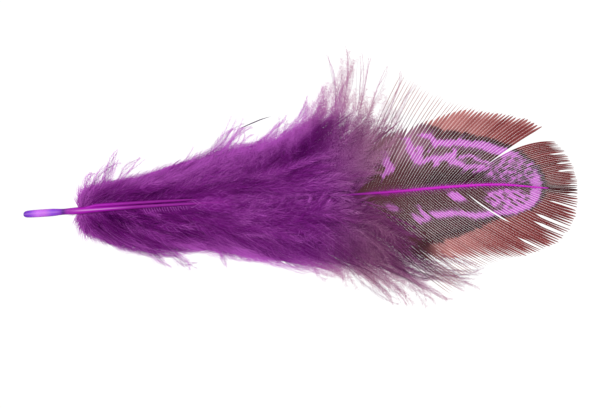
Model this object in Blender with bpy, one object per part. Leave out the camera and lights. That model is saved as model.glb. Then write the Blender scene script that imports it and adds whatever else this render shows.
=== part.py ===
"""Dyed pheasant body feather, lying underside up on a flat surface.

The feather runs along X, quill end at -X and tip at +X. The surface it lies on is Z = 0, and the origin
is on that surface under the middle of the shaft. It is one grown piece: the shaft, the small second
shaft, the bed of down, its locks and the vane are joined by Boolean unions, and the underside is cut
flat where the down rests on the surface.
"""
import math

import bmesh
import bpy
from mathutils import Vector

MM = 0.001

# Driving sizes, in millimetres
FEATHER_LENGTH = 76.0
DOWN_START_X = -31.0
SHAFT_END_X = 33.3
SHAFT_SIDES = 8
SHAFT_STEP = 3.0
SECOND_SHAFT_START_X = -31.2
SECOND_SHAFT_END_X = -14.0
SECOND_SHAFT_SPREAD = 3.0
SECOND_SHAFT_RADIUS = 0.14
SECOND_SHAFT_OFFSET = 0.62
SECOND_SHAFT_LIFT = 0.12

# The shaft's run seen from above and from the side, and its radius, each as (x, value)
SHAFT_Y = ((-38.0, -1.97), (-30.7, -1.49), (-20.8, -0.83), (-5.6, 0.0), (10.9, 1.0), (20.5, 1.82),
           (27.4, 2.13), (33.3, 1.68), (38.0, 1.4))
SHAFT_Z = ((-38.0, 2.6), (-30.7, 2.1), (-20.0, 2.0), (-8.0, 1.6), (5.0, 1.0), (17.0, 0.6),
           (27.0, 0.9), (33.0, 1.5), (38.0, 2.4))
SHAFT_RADIUS = ((-37.4, 0.50), (-34.0, 0.53), (-32.6, 0.44), (-30.7, 0.50), (-27.5, 0.36), (-15.0, 0.23),
                (10.0, 0.19), (28.0, 0.16), (33.3, 0.10))
QUILL_ROUNDING = ((-38.0, 0.14), (-37.9, 0.30), (-37.7, 0.42))

# Vane: rim points, sheet and toothing
UPPER_REAR_RIM = ((13.6, 17.6), (17.1, 15.4), (22.2, 13.3), (27.7, 12.1), (31.4, 11.2), (33.4, 10.0))
UPPER_FRONT_RIM = ((35.1, 8.1), (36.4, 6.6), (37.4, 4.6), (37.9, 2.9), (38.0, 1.3))
LOWER_RIM = ((20.6, -13.2), (24.6, -9.8), (27.8, -8.4), (32.2, -7.5), (35.7, -5.6), (37.4, -3.2),
             (38.0, -0.6), (38.0, 1.5))
VANE_REAR_ROOT_X = 7.0
SPLIT_ROOT_X = 22.3
SPLIT_OVERLAP = 0.17
VANE_FRONT_ROOT_X = 33.2
LOWER_FRONT_ROOT_X = 32.9
VANE_THICKNESS = 0.26
RIM_THICKNESS = 0.18
REAR_DROP = 0.06
FRONT_DROP = 0.03
LOWER_DROP = 0.08
RIDGE_HEIGHT = 0.07
REAR_TOOTH_DEPTH = 0.26
FRONT_TOOTH_DEPTH = 0.05
UPPER_REAR_BENDS = (0.06, 0.05)
UPPER_FRONT_BENDS = (0.15, 0.02)
LOWER_BENDS = (0.08, 0.02)
UPPER_REAR_BUNDLES = 10
UPPER_FRONT_BUNDLES = 7
LOWER_BUNDLES = 14
VANE_CUP = 0.016
VANE_STATIONS = 6
REAR_ROOT_OVERLAP = 0.09
FRONT_ROOT_OVERLAP = 0.45

# Bed of down under the locks: width each side of the shaft, and the heights of its crown and of its
# middle, as (x, value)
BED_UPPER_WIDTH = ((-31.0, 1.0), (-28.5, 2.8), (-20.0, 4.4), (-10.0, 6.2), (0.0, 9.0), (8.0, 10.0),
                   (15.0, 4.0))
BED_LOWER_WIDTH = ((-31.0, 1.0), (-28.5, 3.2), (-20.0, 5.4), (-10.0, 6.3), (0.0, 7.0), (8.0, 8.4),
                   (15.0, 4.0))
BED_CROWN = ((-31.0, 1.4), (-27.0, 2.1), (-12.0, 2.5), (0.0, 2.4), (8.0, 1.8), (15.0, 0.8))
BED_MIDDLE = ((-31.0, 1.7), (-27.0, 2.02), (-15.0, 1.9), (-10.0, 2.4), (4.0, 2.2), (9.0, 1.1), (15.0, 0.5))
BED_STEP = 3.8
BED_END_X = 15.0
BELOW_SURFACE = 0.4
CUT_DEPTH = 5.0

# Section of one side of the bed, as (share of its width, share of its crown), and the width of its foot
BED_SECTION = ((1.0, 0.35), (0.75, 0.75), (0.38, 1.0))
BED_FOOT = 0.8

# Locks of down: their tips follow these margins, and their roots sit on the shaft at (share, x)
UPPER_DOWN_MARGIN = ((-30.6, 1.6), (-29.2, 3.8), (-26.4, 4.8), (-21.0, 4.7), (-15.5, 5.6), (-10.5, 7.3),
                     (-5.4, 9.2), (-1.0, 11.8), (3.0, 13.6), (8.0, 14.4), (12.6, 14.2), (16.0, 12.0))
LOWER_DOWN_MARGIN = ((-31.0, -3.2), (-29.5, -5.6), (-25.0, -7.2), (-19.5, -8.4), (-12.0, -8.6),
                     (-4.0, -9.3), (4.0, -9.9), (11.0, -11.4), (17.4, -12.6))
UPPER_ROOTS = ((0.0, -30.8), (0.15, -30.0), (0.5, -18.5), (0.75, -8.0), (1.0, 5.5))
LOWER_ROOTS = ((0.0, -30.8), (0.2, -29.0), (0.5, -19.5), (0.75, -9.0), (1.0, 4.0))
LOCKS_A_SIDE = 20
LOCK_WIDTHS = ((0.0, 1.3), (0.15, 2.0), (0.4, 2.5), (1.0, 2.3))
LOCK_THICKNESS_SHARE = 0.6
LOCK_SIDES = 5
LOCK_STATIONS = 6
LOCK_ROOT_SHARE = 0.25
LOCK_TIP_SHARE = 0.10
LOCK_SWELL = 0.9
LOCK_AIM_STEP = 0.05
LOCK_ROOT_DROP = 0.25
LOCK_REACH_SWING = 0.7
LOCK_SWING_ALONG = 0.35
LOCK_SWING_TURN = 2.4
LOCK_ARCH = 0.9
LOCK_BEND = 0.10
LOCK_LAYER = 0.6
LOCK_LAYERS = 3
LOWEST_LOCK_TIP = 0.5

# Long loose locks, as (x of the root, tip x, tip y, tip z)
LONG_LOCKS = ((-29.6, -26.7, 4.9, 1.6), (-29.2, -25.2, 6.6, 1.2), (-21.5, -8.8, 10.4, 1.4),
              (-14.0, -0.6, 12.9, 2.0), (-11.0, 2.9, 15.6, 2.6), (-9.0, 4.5, 17.6, 1.6),
              (-8.0, 3.6, 20.0, 2.2), (-5.5, 7.2, 17.8, 3.0), (-3.5, 8.3, 20.1, 1.8),
              (-1.0, 11.0, 17.6, 2.8), (1.0, 13.6, 17.4, 1.8),
              (-3.5, 9.2, -11.8, 1.6), (-1.5, 13.2, -14.0, 1.2), (1.0, 16.4, -13.6, 2.4),
              (3.5, 18.2, -14.0, 1.8), (5.5, 20.3, -13.2, 2.4))
LONG_LOCK_WIDTH = 1.2
LONG_LOCK_ARCH = 0.4

# Locks that lie over the shaft, as (x of the root, tip x, tip y, tip z): those of the afterfeather are
# rooted on the second shaft, and the others further along on the shaft itself
AFTER_LOCKS = ((-22.0, -11.5, 2.2, 2.9), (-21.0, -10.0, -3.2, 2.7), (-18.0, -5.5, 1.4, 3.3),
               (-17.0, -4.0, -2.6, 3.0), (-15.5, 1.5, 3.8, 3.3), (-15.0, 3.5, 0.4, 3.1),
               (-14.6, 5.5, -2.8, 2.7), (-14.4, 8.6, 2.6, 2.4))
COVER_LOCKS = ((-9.0, 9.5, -5.2, 2.2), (-7.0, 11.5, 5.6, 2.4), (-4.0, 13.0, -4.0, 1.8),
               (-2.0, 15.0, 4.6, 2.0), (0.0, 15.5, -6.6, 1.8), (1.0, 16.5, 8.0, 2.2))
COVER_WIDTH = 2.1
COVER_ARCH = 0.4

# Colours, as linear red, green, blue
QUILL_COLOUR = (0.47, 0.08, 0.66)
DOWN_COLOUR = (0.16, 0.02, 0.19)
VANE_COLOUR = (0.17, 0.08, 0.09)


def value_at(table, x):
    """Smooth value at x through (x, value) pairs, held level beyond both ends."""
    if x <= table[0][0]:
        return table[0][1]
    if x >= table[-1][0]:
        return table[-1][1]
    span = max(i for i in range(len(table) - 1) if table[i][0] <= x)
    x0, v0 = table[span]
    x1, v1 = table[span + 1]
    before = table[max(span - 1, 0)]
    after = table[min(span + 2, len(table) - 1)]
    width = x1 - x0
    slope0 = (v1 - before[1]) / (x1 - before[0]) * width
    slope1 = (after[1] - v0) / (after[0] - x0) * width
    t = (x - x0) / width
    return (v0 * (2 * t**3 - 3 * t**2 + 1) + slope0 * (t**3 - 2 * t**2 + t)
            + v1 * (3 * t**2 - 2 * t**3) + slope1 * (t**3 - t**2))


def point_along(route, share):
    """Point at a share (0 to 1) of the smooth curve through the (x, y) points of a route."""
    lengths = [0.0]
    for (xa, ya), (xb, yb) in zip(route, route[1:]):
        lengths.append(lengths[-1] + math.hypot(xb - xa, yb - ya))
    reach = share * lengths[-1]
    along_x = tuple((s, p[0]) for s, p in zip(lengths, route))
    along_y = tuple((s, p[1]) for s, p in zip(lengths, route))
    return value_at(along_x, reach), value_at(along_y, reach)


def between(pair, share):
    """Value at a share of the way from the first of a pair to the second."""
    return pair[0] + (pair[1] - pair[0]) * share


def shaft_point(x):
    """Centre of the shaft at x."""
    return Vector((x, value_at(SHAFT_Y, x), value_at(SHAFT_Z, x)))


def bezier(start, middle, end, t):
    """Point of the quadratic curve from start to end, pulled towards middle."""
    return start * (1 - t)**2 + middle * (2 * t * (1 - t)) + end * t**2


def new_object(name, points, faces, material):
    """Mesh object from points in millimetres."""
    mesh = bpy.data.meshes.new(name)
    mesh.from_pydata([tuple(Vector(p) * MM) for p in points], [], faces)
    mesh.materials.append(material)
    mesh.validate()
    item = bpy.data.objects.new(name, mesh)
    bpy.context.scene.collection.objects.link(item)
    return item


def loft(name, rings, material):
    """Closed body through rings of points, each ring turning from +Y to +Z as it advances along +X."""
    sides = len(rings[0])
    points = [p for ring in rings for p in ring]
    faces = []
    for r in range(len(rings) - 1):
        for k in range(sides):
            a = r * sides + k
            b = r * sides + (k + 1) % sides
            faces.append((a, b, b + sides, a + sides))
    faces.append(tuple(reversed(range(sides))))
    last = (len(rings) - 1) * sides
    faces.append(tuple(range(last, last + sides)))
    return new_object(name, points, faces, material)


def round_ring(centre, radius, sides):
    """Ring of points around a centre, in the plane across X."""
    ring = []
    for k in range(sides):
        angle = 2 * math.pi * (k + 0.5) / sides
        ring.append(centre + Vector((0, radius * math.cos(angle), radius * math.sin(angle))))
    return ring


def make_shaft(material):
    """Bare quill with its rounded end, and the shaft tapering out towards the tip."""
    rings = [round_ring(shaft_point(x), radius, SHAFT_SIDES) for x, radius in QUILL_ROUNDING]
    steps = round((SHAFT_END_X - SHAFT_RADIUS[0][0]) / SHAFT_STEP)
    for i in range(steps + 1):
        x = SHAFT_RADIUS[0][0] + (SHAFT_END_X - SHAFT_RADIUS[0][0]) * i / steps
        rings.append(round_ring(shaft_point(x), value_at(SHAFT_RADIUS, x), SHAFT_SIDES))
    return loft("feather", rings, material)


def second_shaft_point(x):
    """Centre of the second shaft, which starts inside the quill and runs beside the shaft."""
    spread = min((x - SECOND_SHAFT_START_X) / SECOND_SHAFT_SPREAD, 1.0)
    return shaft_point(x) + Vector((0, SECOND_SHAFT_OFFSET * spread, SECOND_SHAFT_LIFT * spread))


def make_second_shaft(material):
    """Thin shaft of the afterfeather."""
    rings = []
    x = SECOND_SHAFT_START_X
    while x <= SECOND_SHAFT_END_X:
        rings.append(round_ring(second_shaft_point(x), SECOND_SHAFT_RADIUS, SHAFT_SIDES))
        x += SHAFT_STEP
    return loft("second_shaft", rings, material)


def barb_line(root_x, side, tip, bend, overlap, drop):
    """Points of one barb from past the middle of the shaft to its tip at the rim, rising towards the rim."""
    root = shaft_point(root_x) + Vector((0, -side * overlap, 0))
    chord = Vector((tip[0] - root.x, tip[1] - root.y, 0))
    across = Vector((-chord.y, chord.x, 0)) * side
    middle = root + chord / 2 + across * bend
    end = root + chord
    points = []
    for i in range(VANE_STATIONS):
        point = bezier(root, middle, end, i / (VANE_STATIONS - 1))
        off_shaft = point.y - value_at(SHAFT_Y, point.x)
        height = value_at(SHAFT_Z, point.x) - drop + VANE_CUP * off_shaft**2
        points.append(Vector((point.x, point.y, height)))
    return points


def make_vane_sheet(name, side, rim, roots, bends, teeth, overlaps, bundles, drop, material):
    """Thin sheet of barbs between the shaft and a stretch of rim, ridged and toothed by its bundles.

    Roots, bends, teeth and overlaps each hold the value at the rear and at the front of the sheet, and
    drop is how far its middle lies under that of the shaft.
    """
    count = 2 * bundles + 1
    tops = []
    bottoms = []
    for c in range(count):
        share = c / (count - 1)
        is_ridge = c % 2 == 1
        tip = point_along(rim, share)
        overlap = between(overlaps, share**2)
        line = barb_line(between(roots, share), side, tip, between(bends, share), overlap, drop)
        if not is_ridge and 0 < c < count - 1:
            line[-1] = line[-1].lerp(line[-3], between(teeth, share))
        for i, point in enumerate(line):
            out = i / (VANE_STATIONS - 1)
            half = between((VANE_THICKNESS, RIM_THICKNESS), out) / 2
            ridge = RIDGE_HEIGHT if is_ridge else 0.0
            tops.append(point + Vector((0, 0, half + ridge)))
            bottoms.append(point + Vector((0, 0, ridge - half)))
    return new_object(name, tops + bottoms, sheet_faces(count, VANE_STATIONS, side), material)


def sheet_faces(columns, rows, side):
    """Faces of a closed sheet whose top and bottom grids follow each other column by column."""
    under = columns * rows
    faces = []
    for c in range(columns - 1):
        for r in range(rows - 1):
            a = c * rows + r
            quad = (a, a + rows, a + rows + 1, a + 1)
            faces.append(quad)
            faces.append(tuple(under + v for v in reversed(quad)))
    rim = [c * rows for c in range(columns)]
    rim += [(columns - 1) * rows + r for r in range(1, rows)]
    rim += [c * rows + rows - 1 for c in range(columns - 2, -1, -1)]
    rim += [r for r in range(rows - 2, 0, -1)]
    for a, b in zip(rim, rim[1:] + rim[:1]):
        faces.append((b, a, under + a, under + b))
    if side < 0:
        faces = [tuple(reversed(face)) for face in faces]
    return faces


def make_bed(material):
    """Bed of down: a low cushion that follows the shaft, open along its middle near the quill."""
    rings = []
    steps = round((BED_END_X - DOWN_START_X) / BED_STEP)
    for i in range(steps + 1):
        x = DOWN_START_X + (BED_END_X - DOWN_START_X) * i / steps
        middle = value_at(SHAFT_Y, x)
        upper = value_at(BED_UPPER_WIDTH, x)
        lower = value_at(BED_LOWER_WIDTH, x)
        crown = value_at(BED_CROWN, x)
        centre = value_at(BED_MIDDLE, x)
        profile = [(upper * out, crown * up) for out, up in BED_SECTION] + [(0, centre)]
        profile += [(-lower * out, crown * up) for out, up in reversed(BED_SECTION)]
        profile += [(-BED_FOOT * lower, -BELOW_SURFACE), (BED_FOOT * upper, -BELOW_SURFACE)]
        rings.append([Vector((x, middle + y, z)) for y, z in profile])
    return loft("bed", rings, material)


def make_lock(name, root, tip, arch, bend, width, material):
    """Tapered lock of down from its root to its pointed tip, arched upwards and bent sideways."""
    chord = tip - root
    across = Vector((-chord.y, chord.x, 0))
    middle = root + chord / 2 + across * bend + Vector((0, 0, 2 * arch))
    rings = []
    for i in range(LOCK_STATIONS):
        t = i / (LOCK_STATIONS - 1)
        centre = bezier(root, middle, tip, t)
        before = bezier(root, middle, tip, max(t - LOCK_AIM_STEP, 0.0))
        ahead = bezier(root, middle, tip, min(t + LOCK_AIM_STEP, 1.0)) - before
        sideways = Vector((-ahead.y, ahead.x, 0)).normalized()
        upwards = ahead.cross(sideways).normalized()
        least = between((LOCK_ROOT_SHARE, LOCK_TIP_SHARE), t)
        fullness = least + (1 - least) * math.sin(math.pi * t**LOCK_SWELL)**LOCK_SWELL
        ring = []
        for k in range(LOCK_SIDES):
            angle = math.pi / 2 + 2 * math.pi * k / LOCK_SIDES
            reach = width / 2 * fullness
            ring.append(centre + sideways * (math.cos(angle) * reach)
                        + upwards * (math.sin(angle) * reach * LOCK_THICKNESS_SHARE))
        rings.append(ring)
    return loft(name, rings, material)


def make_side_locks(side, margin, roots, material):
    """Row of locks down one side, their tips along the margin at three heights in turn."""
    locks = []
    for i in range(LOCKS_A_SIDE):
        share = i / (LOCKS_A_SIDE - 1)
        root = shaft_point(value_at(roots, share)) - Vector((0, 0, LOCK_ROOT_DROP))
        x, y = point_along(margin, share)
        layer = (i * 2) % LOCK_LAYERS
        swing = math.sin(LOCK_SWING_TURN * i + side)
        tip = Vector((x + LOCK_SWING_ALONG * swing, y + side * LOCK_REACH_SWING * swing,
                      LOWEST_LOCK_TIP + LOCK_LAYER * layer))
        arch = LOCK_ARCH * (1 + layer) / LOCK_LAYERS
        name = "lock_upper_%d" % i if side > 0 else "lock_lower_%d" % i
        width = value_at(LOCK_WIDTHS, share)
        locks.append(make_lock(name, root, tip, arch, LOCK_BEND * side, width, material))
    return locks


def make_placed_locks(name, places, root_point, arch, width, material):
    """Locks whose roots and tips are given one by one."""
    locks = []
    for i, (root_x, x, y, z) in enumerate(places):
        bend = math.copysign(LOCK_BEND, y)
        tip = Vector((x, y, z))
        locks.append(make_lock("%s_%d" % (name, i), root_point(root_x), tip, arch, bend, width, material))
    return locks


def make_vane(material):
    """The three sheets of the vane: the split near the tip parts the two upper ones."""
    rear_teeth = (REAR_TOOTH_DEPTH, FRONT_TOOTH_DEPTH)
    front_teeth = (FRONT_TOOTH_DEPTH, FRONT_TOOTH_DEPTH)
    overlaps = (REAR_ROOT_OVERLAP, FRONT_ROOT_OVERLAP)
    rear = make_vane_sheet("vane_upper_rear", 1, UPPER_REAR_RIM, (VANE_REAR_ROOT_X, SPLIT_ROOT_X),
                           UPPER_REAR_BENDS, rear_teeth, (REAR_ROOT_OVERLAP, REAR_ROOT_OVERLAP),
                           UPPER_REAR_BUNDLES, REAR_DROP, material)
    front_roots = (SPLIT_ROOT_X - SPLIT_OVERLAP, VANE_FRONT_ROOT_X)
    front = make_vane_sheet("vane_upper_front", 1, UPPER_FRONT_RIM, front_roots, UPPER_FRONT_BENDS,
                            front_teeth, overlaps, UPPER_FRONT_BUNDLES, FRONT_DROP, material)
    lower = make_vane_sheet("vane_lower", -1, LOWER_RIM, (VANE_REAR_ROOT_X, LOWER_FRONT_ROOT_X),
                            LOWER_BENDS, rear_teeth, overlaps, LOWER_BUNDLES, LOWER_DROP, material)
    return [rear, front, lower]


def make_material(name, colour, roughness):
    """Plain Principled material."""
    material = bpy.data.materials.new(name)
    material.use_nodes = True
    shader = material.node_tree.nodes["Principled BSDF"]
    shader.inputs["Base Color"].default_value = (*colour, 1.0)
    shader.inputs["Roughness"].default_value = roughness
    shader.inputs["Metallic"].default_value = 0.0
    return material


def add_boolean(base, operation, name):
    """Boolean modifier with the exact solver."""
    modifier = base.modifiers.new(name, "BOOLEAN")
    modifier.operation = operation
    modifier.solver = "EXACT"
    return modifier


def join_bodies(base, bodies):
    """Union of the base with the bodies, which are kept in a collection of their own."""
    group = bpy.data.collections.new("joined_to_shaft")
    bpy.context.scene.collection.children.link(group)
    for body in bodies:
        bpy.context.scene.collection.objects.unlink(body)
        group.objects.link(body)
    union = add_boolean(base, "UNION", "join")
    union.operand_type = "COLLECTION"
    union.collection = group


def cut_flat(base):
    """Cut away what would lie below the surface that the feather rests on."""
    far = FEATHER_LENGTH
    outline = ((far, -CUT_DEPTH), (far, 0), (-far, 0), (-far, -CUT_DEPTH))
    ring_back = [Vector((-far, y, z)) for y, z in outline]
    ring_front = [p + Vector((2 * far, 0, 0)) for p in ring_back]
    block = loft("surface_cut", [ring_back, ring_front], base.data.materials[0])
    add_boolean(base, "DIFFERENCE", "rest_flat").object = block


def skins_of(shape):
    """Groups of faces that hang together across edges of exactly two faces."""
    left = set(shape.faces)
    skins = []
    while left:
        skin = set()
        waiting = [left.pop()]
        while waiting:
            face = waiting.pop()
            skin.add(face)
            for edge in face.edges:
                if len(edge.link_faces) != 2:
                    continue
                for neighbour in edge.link_faces:
                    if neighbour in left:
                        left.remove(neighbour)
                        waiting.append(neighbour)
        skins.append(skin)
    return skins


def keep_outer_skin(item):
    """Apply the Booleans, fill the tiny bubbles sealed between locks and remove the joined bodies."""
    united = item.evaluated_get(bpy.context.evaluated_depsgraph_get())
    mesh = bpy.data.meshes.new_from_object(united)
    shape = bmesh.new()
    shape.from_mesh(mesh)
    skins = sorted(skins_of(shape), key=len)
    bubbles = [face for skin in skins[:-1] for face in skin]
    bmesh.ops.delete(shape, geom=bubbles, context="FACES")
    shape.to_mesh(mesh)
    shape.free()
    item.modifiers.clear()
    item.data = mesh
    for other in list(bpy.data.objects):
        if other != item:
            bpy.data.objects.remove(other)


def main():
    for item in list(bpy.data.objects):
        bpy.data.objects.remove(item)
    quill = make_material("quill_magenta", QUILL_COLOUR, 0.35)
    down = make_material("down_purple", DOWN_COLOUR, 0.9)
    vane = make_material("vane_brown", VANE_COLOUR, 0.7)
    feather = make_shaft(quill)
    bodies = [make_second_shaft(quill), make_bed(down)]
    bodies += make_vane(vane)
    bodies += make_side_locks(1, UPPER_DOWN_MARGIN, UPPER_ROOTS, down)
    bodies += make_side_locks(-1, LOWER_DOWN_MARGIN, LOWER_ROOTS, down)
    bodies += make_placed_locks("long", LONG_LOCKS, shaft_point, LONG_LOCK_ARCH, LONG_LOCK_WIDTH, down)
    bodies += make_placed_locks("after", AFTER_LOCKS, second_shaft_point, COVER_ARCH, COVER_WIDTH, down)
    bodies += make_placed_locks("cover", COVER_LOCKS, shaft_point, COVER_ARCH, COVER_WIDTH, down)
    join_bodies(feather, bodies)
    cut_flat(feather)
    keep_outer_skin(feather)


main()
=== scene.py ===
"""Looks of the dyed pheasant feather, which lies underside up on a white surface.

The quill with its shaft and the second shaft are turned skins. The vane and the down are grown barb by
barb, each a thin three-sided tube. A barb of the down carries flat barbules along both sides, and a barb of
the vane carries a ribbon of web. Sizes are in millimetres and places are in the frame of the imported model, so
the barbs lie in and over its solid.
"""
import math

import bpy
import numpy as np
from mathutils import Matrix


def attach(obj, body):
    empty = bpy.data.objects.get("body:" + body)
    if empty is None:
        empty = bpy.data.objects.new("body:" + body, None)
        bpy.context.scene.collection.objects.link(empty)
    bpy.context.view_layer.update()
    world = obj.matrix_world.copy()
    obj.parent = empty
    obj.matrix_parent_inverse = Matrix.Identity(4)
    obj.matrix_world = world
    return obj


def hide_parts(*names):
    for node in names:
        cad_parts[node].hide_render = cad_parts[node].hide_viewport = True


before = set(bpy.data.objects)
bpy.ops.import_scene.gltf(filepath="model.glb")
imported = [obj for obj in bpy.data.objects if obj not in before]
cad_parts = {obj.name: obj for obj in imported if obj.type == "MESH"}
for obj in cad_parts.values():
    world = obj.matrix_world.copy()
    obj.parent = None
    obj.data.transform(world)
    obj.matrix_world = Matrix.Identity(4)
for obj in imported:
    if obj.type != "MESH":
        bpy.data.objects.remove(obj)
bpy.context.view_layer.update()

MM = 0.001
UP = np.array((0.0, 0.0, 1.0))
SURFACE_GAP = 0.03
SOFTNESS = 0.15
SEEDS = {"vane_upper": 41, "vane_lower": 42, "down_upper": 11, "down_lower": 12, "afterfeather": 21,
         "pale_fibres": 51, "fringe_upper": 31, "fringe_lower": 32}

# Run of the shaft, as in the solid, and how thick it is
SHAFT_Y = (
    (-38.0, -1.97), (-30.7, -1.49), (-20.8, -0.83), (-5.6, 0.0), (10.9, 1.0), (20.5, 1.82), (27.4, 2.13),
    (33.3, 1.68), (38.0, 1.4),
)
SHAFT_Z = (
    (-38.0, 2.6), (-30.7, 2.1), (-20.0, 2.0), (-8.0, 1.6), (5.0, 1.0), (17.0, 0.6), (27.0, 0.9),
    (33.0, 1.5), (38.0, 2.4),
)
QUILL_END_X = -38.0
SHAFT_TIP_X = 37.9
SHAFT_RADIUS = (
    (-38.0, 0.10), (-37.93, 0.28), (-37.7, 0.42), (-37.3, 0.49), (-36.0, 0.53), (-34.0, 0.52),
    (-33.0, 0.44), (-32.5, 0.42), (-31.6, 0.47), (-30.7, 0.50), (-27.5, 0.36), (-15.0, 0.20), (0.0, 0.18),
    (10.0, 0.17), (20.0, 0.19), (28.0, 0.16), (33.3, 0.10), (35.0, 0.08), (37.9, 0.03),
)
SECOND_SHAFT_START_X = -31.2
SECOND_SHAFT_END_X = -14.0
SECOND_SHAFT_SPREAD = 3.0
SECOND_SHAFT_OFFSET = 0.56
SECOND_SHAFT_LIFT = 0.12
SECOND_SHAFT_RADIUS = ((-31.2, 0.20), (-28.0, 0.24), (-20.0, 0.21), (-14.0, 0.08))

# Rim of the vane and the roots of its barbs
UPPER_REAR_RIM = ((13.6, 17.6), (17.1, 15.4), (22.2, 13.3), (27.7, 12.1), (31.4, 11.2), (33.4, 10.0))
UPPER_FRONT_RIM = ((35.1, 8.1), (36.4, 6.6), (37.4, 4.6), (37.9, 2.9), (38.0, 1.3))
LOWER_RIM = (
    (20.6, -13.2), (24.6, -9.8), (27.8, -8.4), (32.2, -7.5), (35.7, -5.6), (37.4, -3.2), (38.0, -0.6),
    (38.0, 1.5),
)
VANE_REAR_ROOT_X = 7.0
SPLIT_ROOT_X = 22.3
VANE_FRONT_ROOT_X = 33.2
LOWER_FRONT_ROOT_X = 32.9
UPPER_REAR_BENDS = (0.06, 0.06)
UPPER_FRONT_BENDS = (0.22, 0.02)
LOWER_BENDS = (0.10, 0.05)
FRONT_LEAN = 0.126
LOWER_ROOT_CROWDING = 0.38
VANE_CUP = 0.016
UPPER_BARB_SPACING = 0.37
OUTERMOST_WEB_ROOM = 0.6 * UPPER_BARB_SPACING
LOWER_BARB_SPACING = 0.41
VANE_BARB_RADII = (0.055, 0.046)
WEB_ROOM_LIMIT = 0.60
SLIT_REACH = 0.025
STROKE_TRIM = 0.09
WEB_COVER = ((0.0, 0.480), (0.2, 0.465), (0.4, 0.452), (0.6, 0.466), (0.85, 0.490))

# Margins of the down, the roots of its barbs by share of the margin, and the sheets under it
UPPER_DOWN_MARGIN = (
    (-30.1, 0.3), (-28.8, 1.9), (-26.4, 2.5), (-21.0, 2.6), (-15.5, 3.0), (-10.5, 4.8), (-5.4, 7.2),
    (-0.6, 8.5), (3.4, 11.8), (7.6, 12.7), (12.6, 11.2), (16.0, 10.4),
)
LOWER_DOWN_MARGIN = (
    (-30.5, -2.8), (-29.0, -5.0), (-25.0, -6.2), (-19.5, -7.0), (-12.0, -6.4), (-7.5, -7.0), (-4.0, -8.2),
    (4.0, -9.4), (11.0, -10.8), (17.4, -11.6),
)
UPPER_ROOTS = ((0.0, -30.4), (0.12, -30.0), (0.25, -28.8), (0.5, -22.5), (0.75, -12.0), (1.0, 3.0))
LOWER_ROOTS = ((0.0, -30.4), (0.12, -30.0), (0.25, -28.8), (0.5, -22.0), (0.75, -11.0), (1.0, 3.0))
UPPER_BENDS = ((0.0, 0.02), (0.1, 0.20), (0.3, 0.27), (0.5, 0.20), (0.65, 0.10), (0.8, 0.0), (1.0, -0.08))
LOWER_DOWN_BENDS = ((0.0, 0.02), (0.1, 0.22), (0.3, 0.27), (0.5, 0.20), (0.7, 0.10), (1.0, 0.02))
UPPER_BED = (
    (-30.0, -0.9), (-26.0, 1.9), (-15.0, 3.0), (-5.0, 4.4), (0.0, 4.4), (4.0, 4.0), (7.4, 3.3), (8.6, 1.2),
)
LOWER_BED = ((-30.0, -2.0), (-26.0, -4.2), (-15.0, -5.0), (-4.0, -5.4), (3.0, -4.4), (8.0, -0.6))
UPPER_CREST_FROM = 0.55
LOWER_CREST_FROM = 0.75
BED_HEIGHT = 0.45
DOWN_START_X = -30.4
HALF_COVERED_FROM = (-15.6, -13.4)
COVERED_FROM = (-9.0, -5.0)
# Line of the dark streak across the down, as (x, y, half width): painted shade of a fold, which darkens the
# down's colour along it
FOLD_SHADE = ((-7.0, 4.1, 0.2), (-2.2, 5.5, 0.5), (1.2, 7.2, 0.7), (4.0, 9.6, 0.7), (6.4, 12.6, 0.3))

# Layers of a coat of down, as (how far the barbs reach to the margin, their arch, tips' height, clumps).
# The bridge's layer has no reach here, since each bridge gives its own
LOW_COAT = ((0.5, 1.0), (0.0, 0.4), (0.1, 0.8), 30)
HIGH_COAT = ((0.45, 0.94), (0.4, 1.0), (0.4, 1.8), 38)
CREST = ((0.45, 1.0), (0.1, 0.9), (0.3, 2.0), 40)
SINGLE_COAT = ((0.30, 1.04), (0.6, 1.2), (0.6, 2.1), 70)
UNDER_COAT = ((0.70, 0.97), (0.0, 0.15), (0.1, 0.5), 30)
LOOSE_COAT = ((0.90, 1.12), (0.1, 0.6), (0.3, 1.6), 27)
AFTER_COAT = ((0.5, 1.0), (0.2, 0.9), (1.4, 2.8), 16)
TUFT_COAT = ((0.65, 1.04), (0.1, 0.9), (0.4, 2.6), 22)
BRIDGE_COAT = ((0.1, 0.5), (0.4, 1.4), 20)

# Barbs in each layer. The first two are for a coat without a crest, the third is for one that is all crest
LOW_COUNT = 130
HIGH_COUNT = 120
CREST_COUNT = 270
SINGLE_COUNT = 200
UNDER_COUNT = 260
LOOSE_COUNT = 120
AFTER_COUNT = 70
CURLED_COUNT = 46

# Barbules, as (distance apart, length, width, radius of the barb that they grow on)
LOW_BARBULES = (0.19, 2.3, 0.050, 0.036)
HIGH_BARBULES = (0.19, 2.1, 0.046, 0.034)
CREST_BARBULES = (0.16, 1.6, 0.036, 0.030)
LOOSE_BARBULES = (0.22, 1.3, 0.030, 0.028)
AFTER_BARBULES = (0.19, 2.0, 0.044, 0.032)
CURLED_BARBULES = (0.19, 1.8, 0.040, 0.030)
TUFT_BARBULES = (0.17, 1.6, 0.034, 0.030)
BRIDGE_BARBULES = (0.20, 1.8, 0.032, 0.030)
WISP_SPACING = 0.22
WISP_WIDTH = 0.026
SINGLE_RADIUS = 0.026
STRAND_RADIUS = 0.030
PALE_FIBRE_RADIUS = 0.042
UNDER_RIBBON = 0.42

# How much lighter the bare barbs of each kind are than barbules, below 0 darker, and the dark fibre's tone. On
# the down's barbs and the single barbs this lightening is a painted highlight along lit barbs
BARB_PAINTED_SHINE = 1.0
SINGLE_PAINTED_SHINE = 1.9
STRAND_SHINE = -5.0
PALE_FIBRE_SHINE = 9.0
LOOSE_FIBRE_TONE = -8.0

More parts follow.
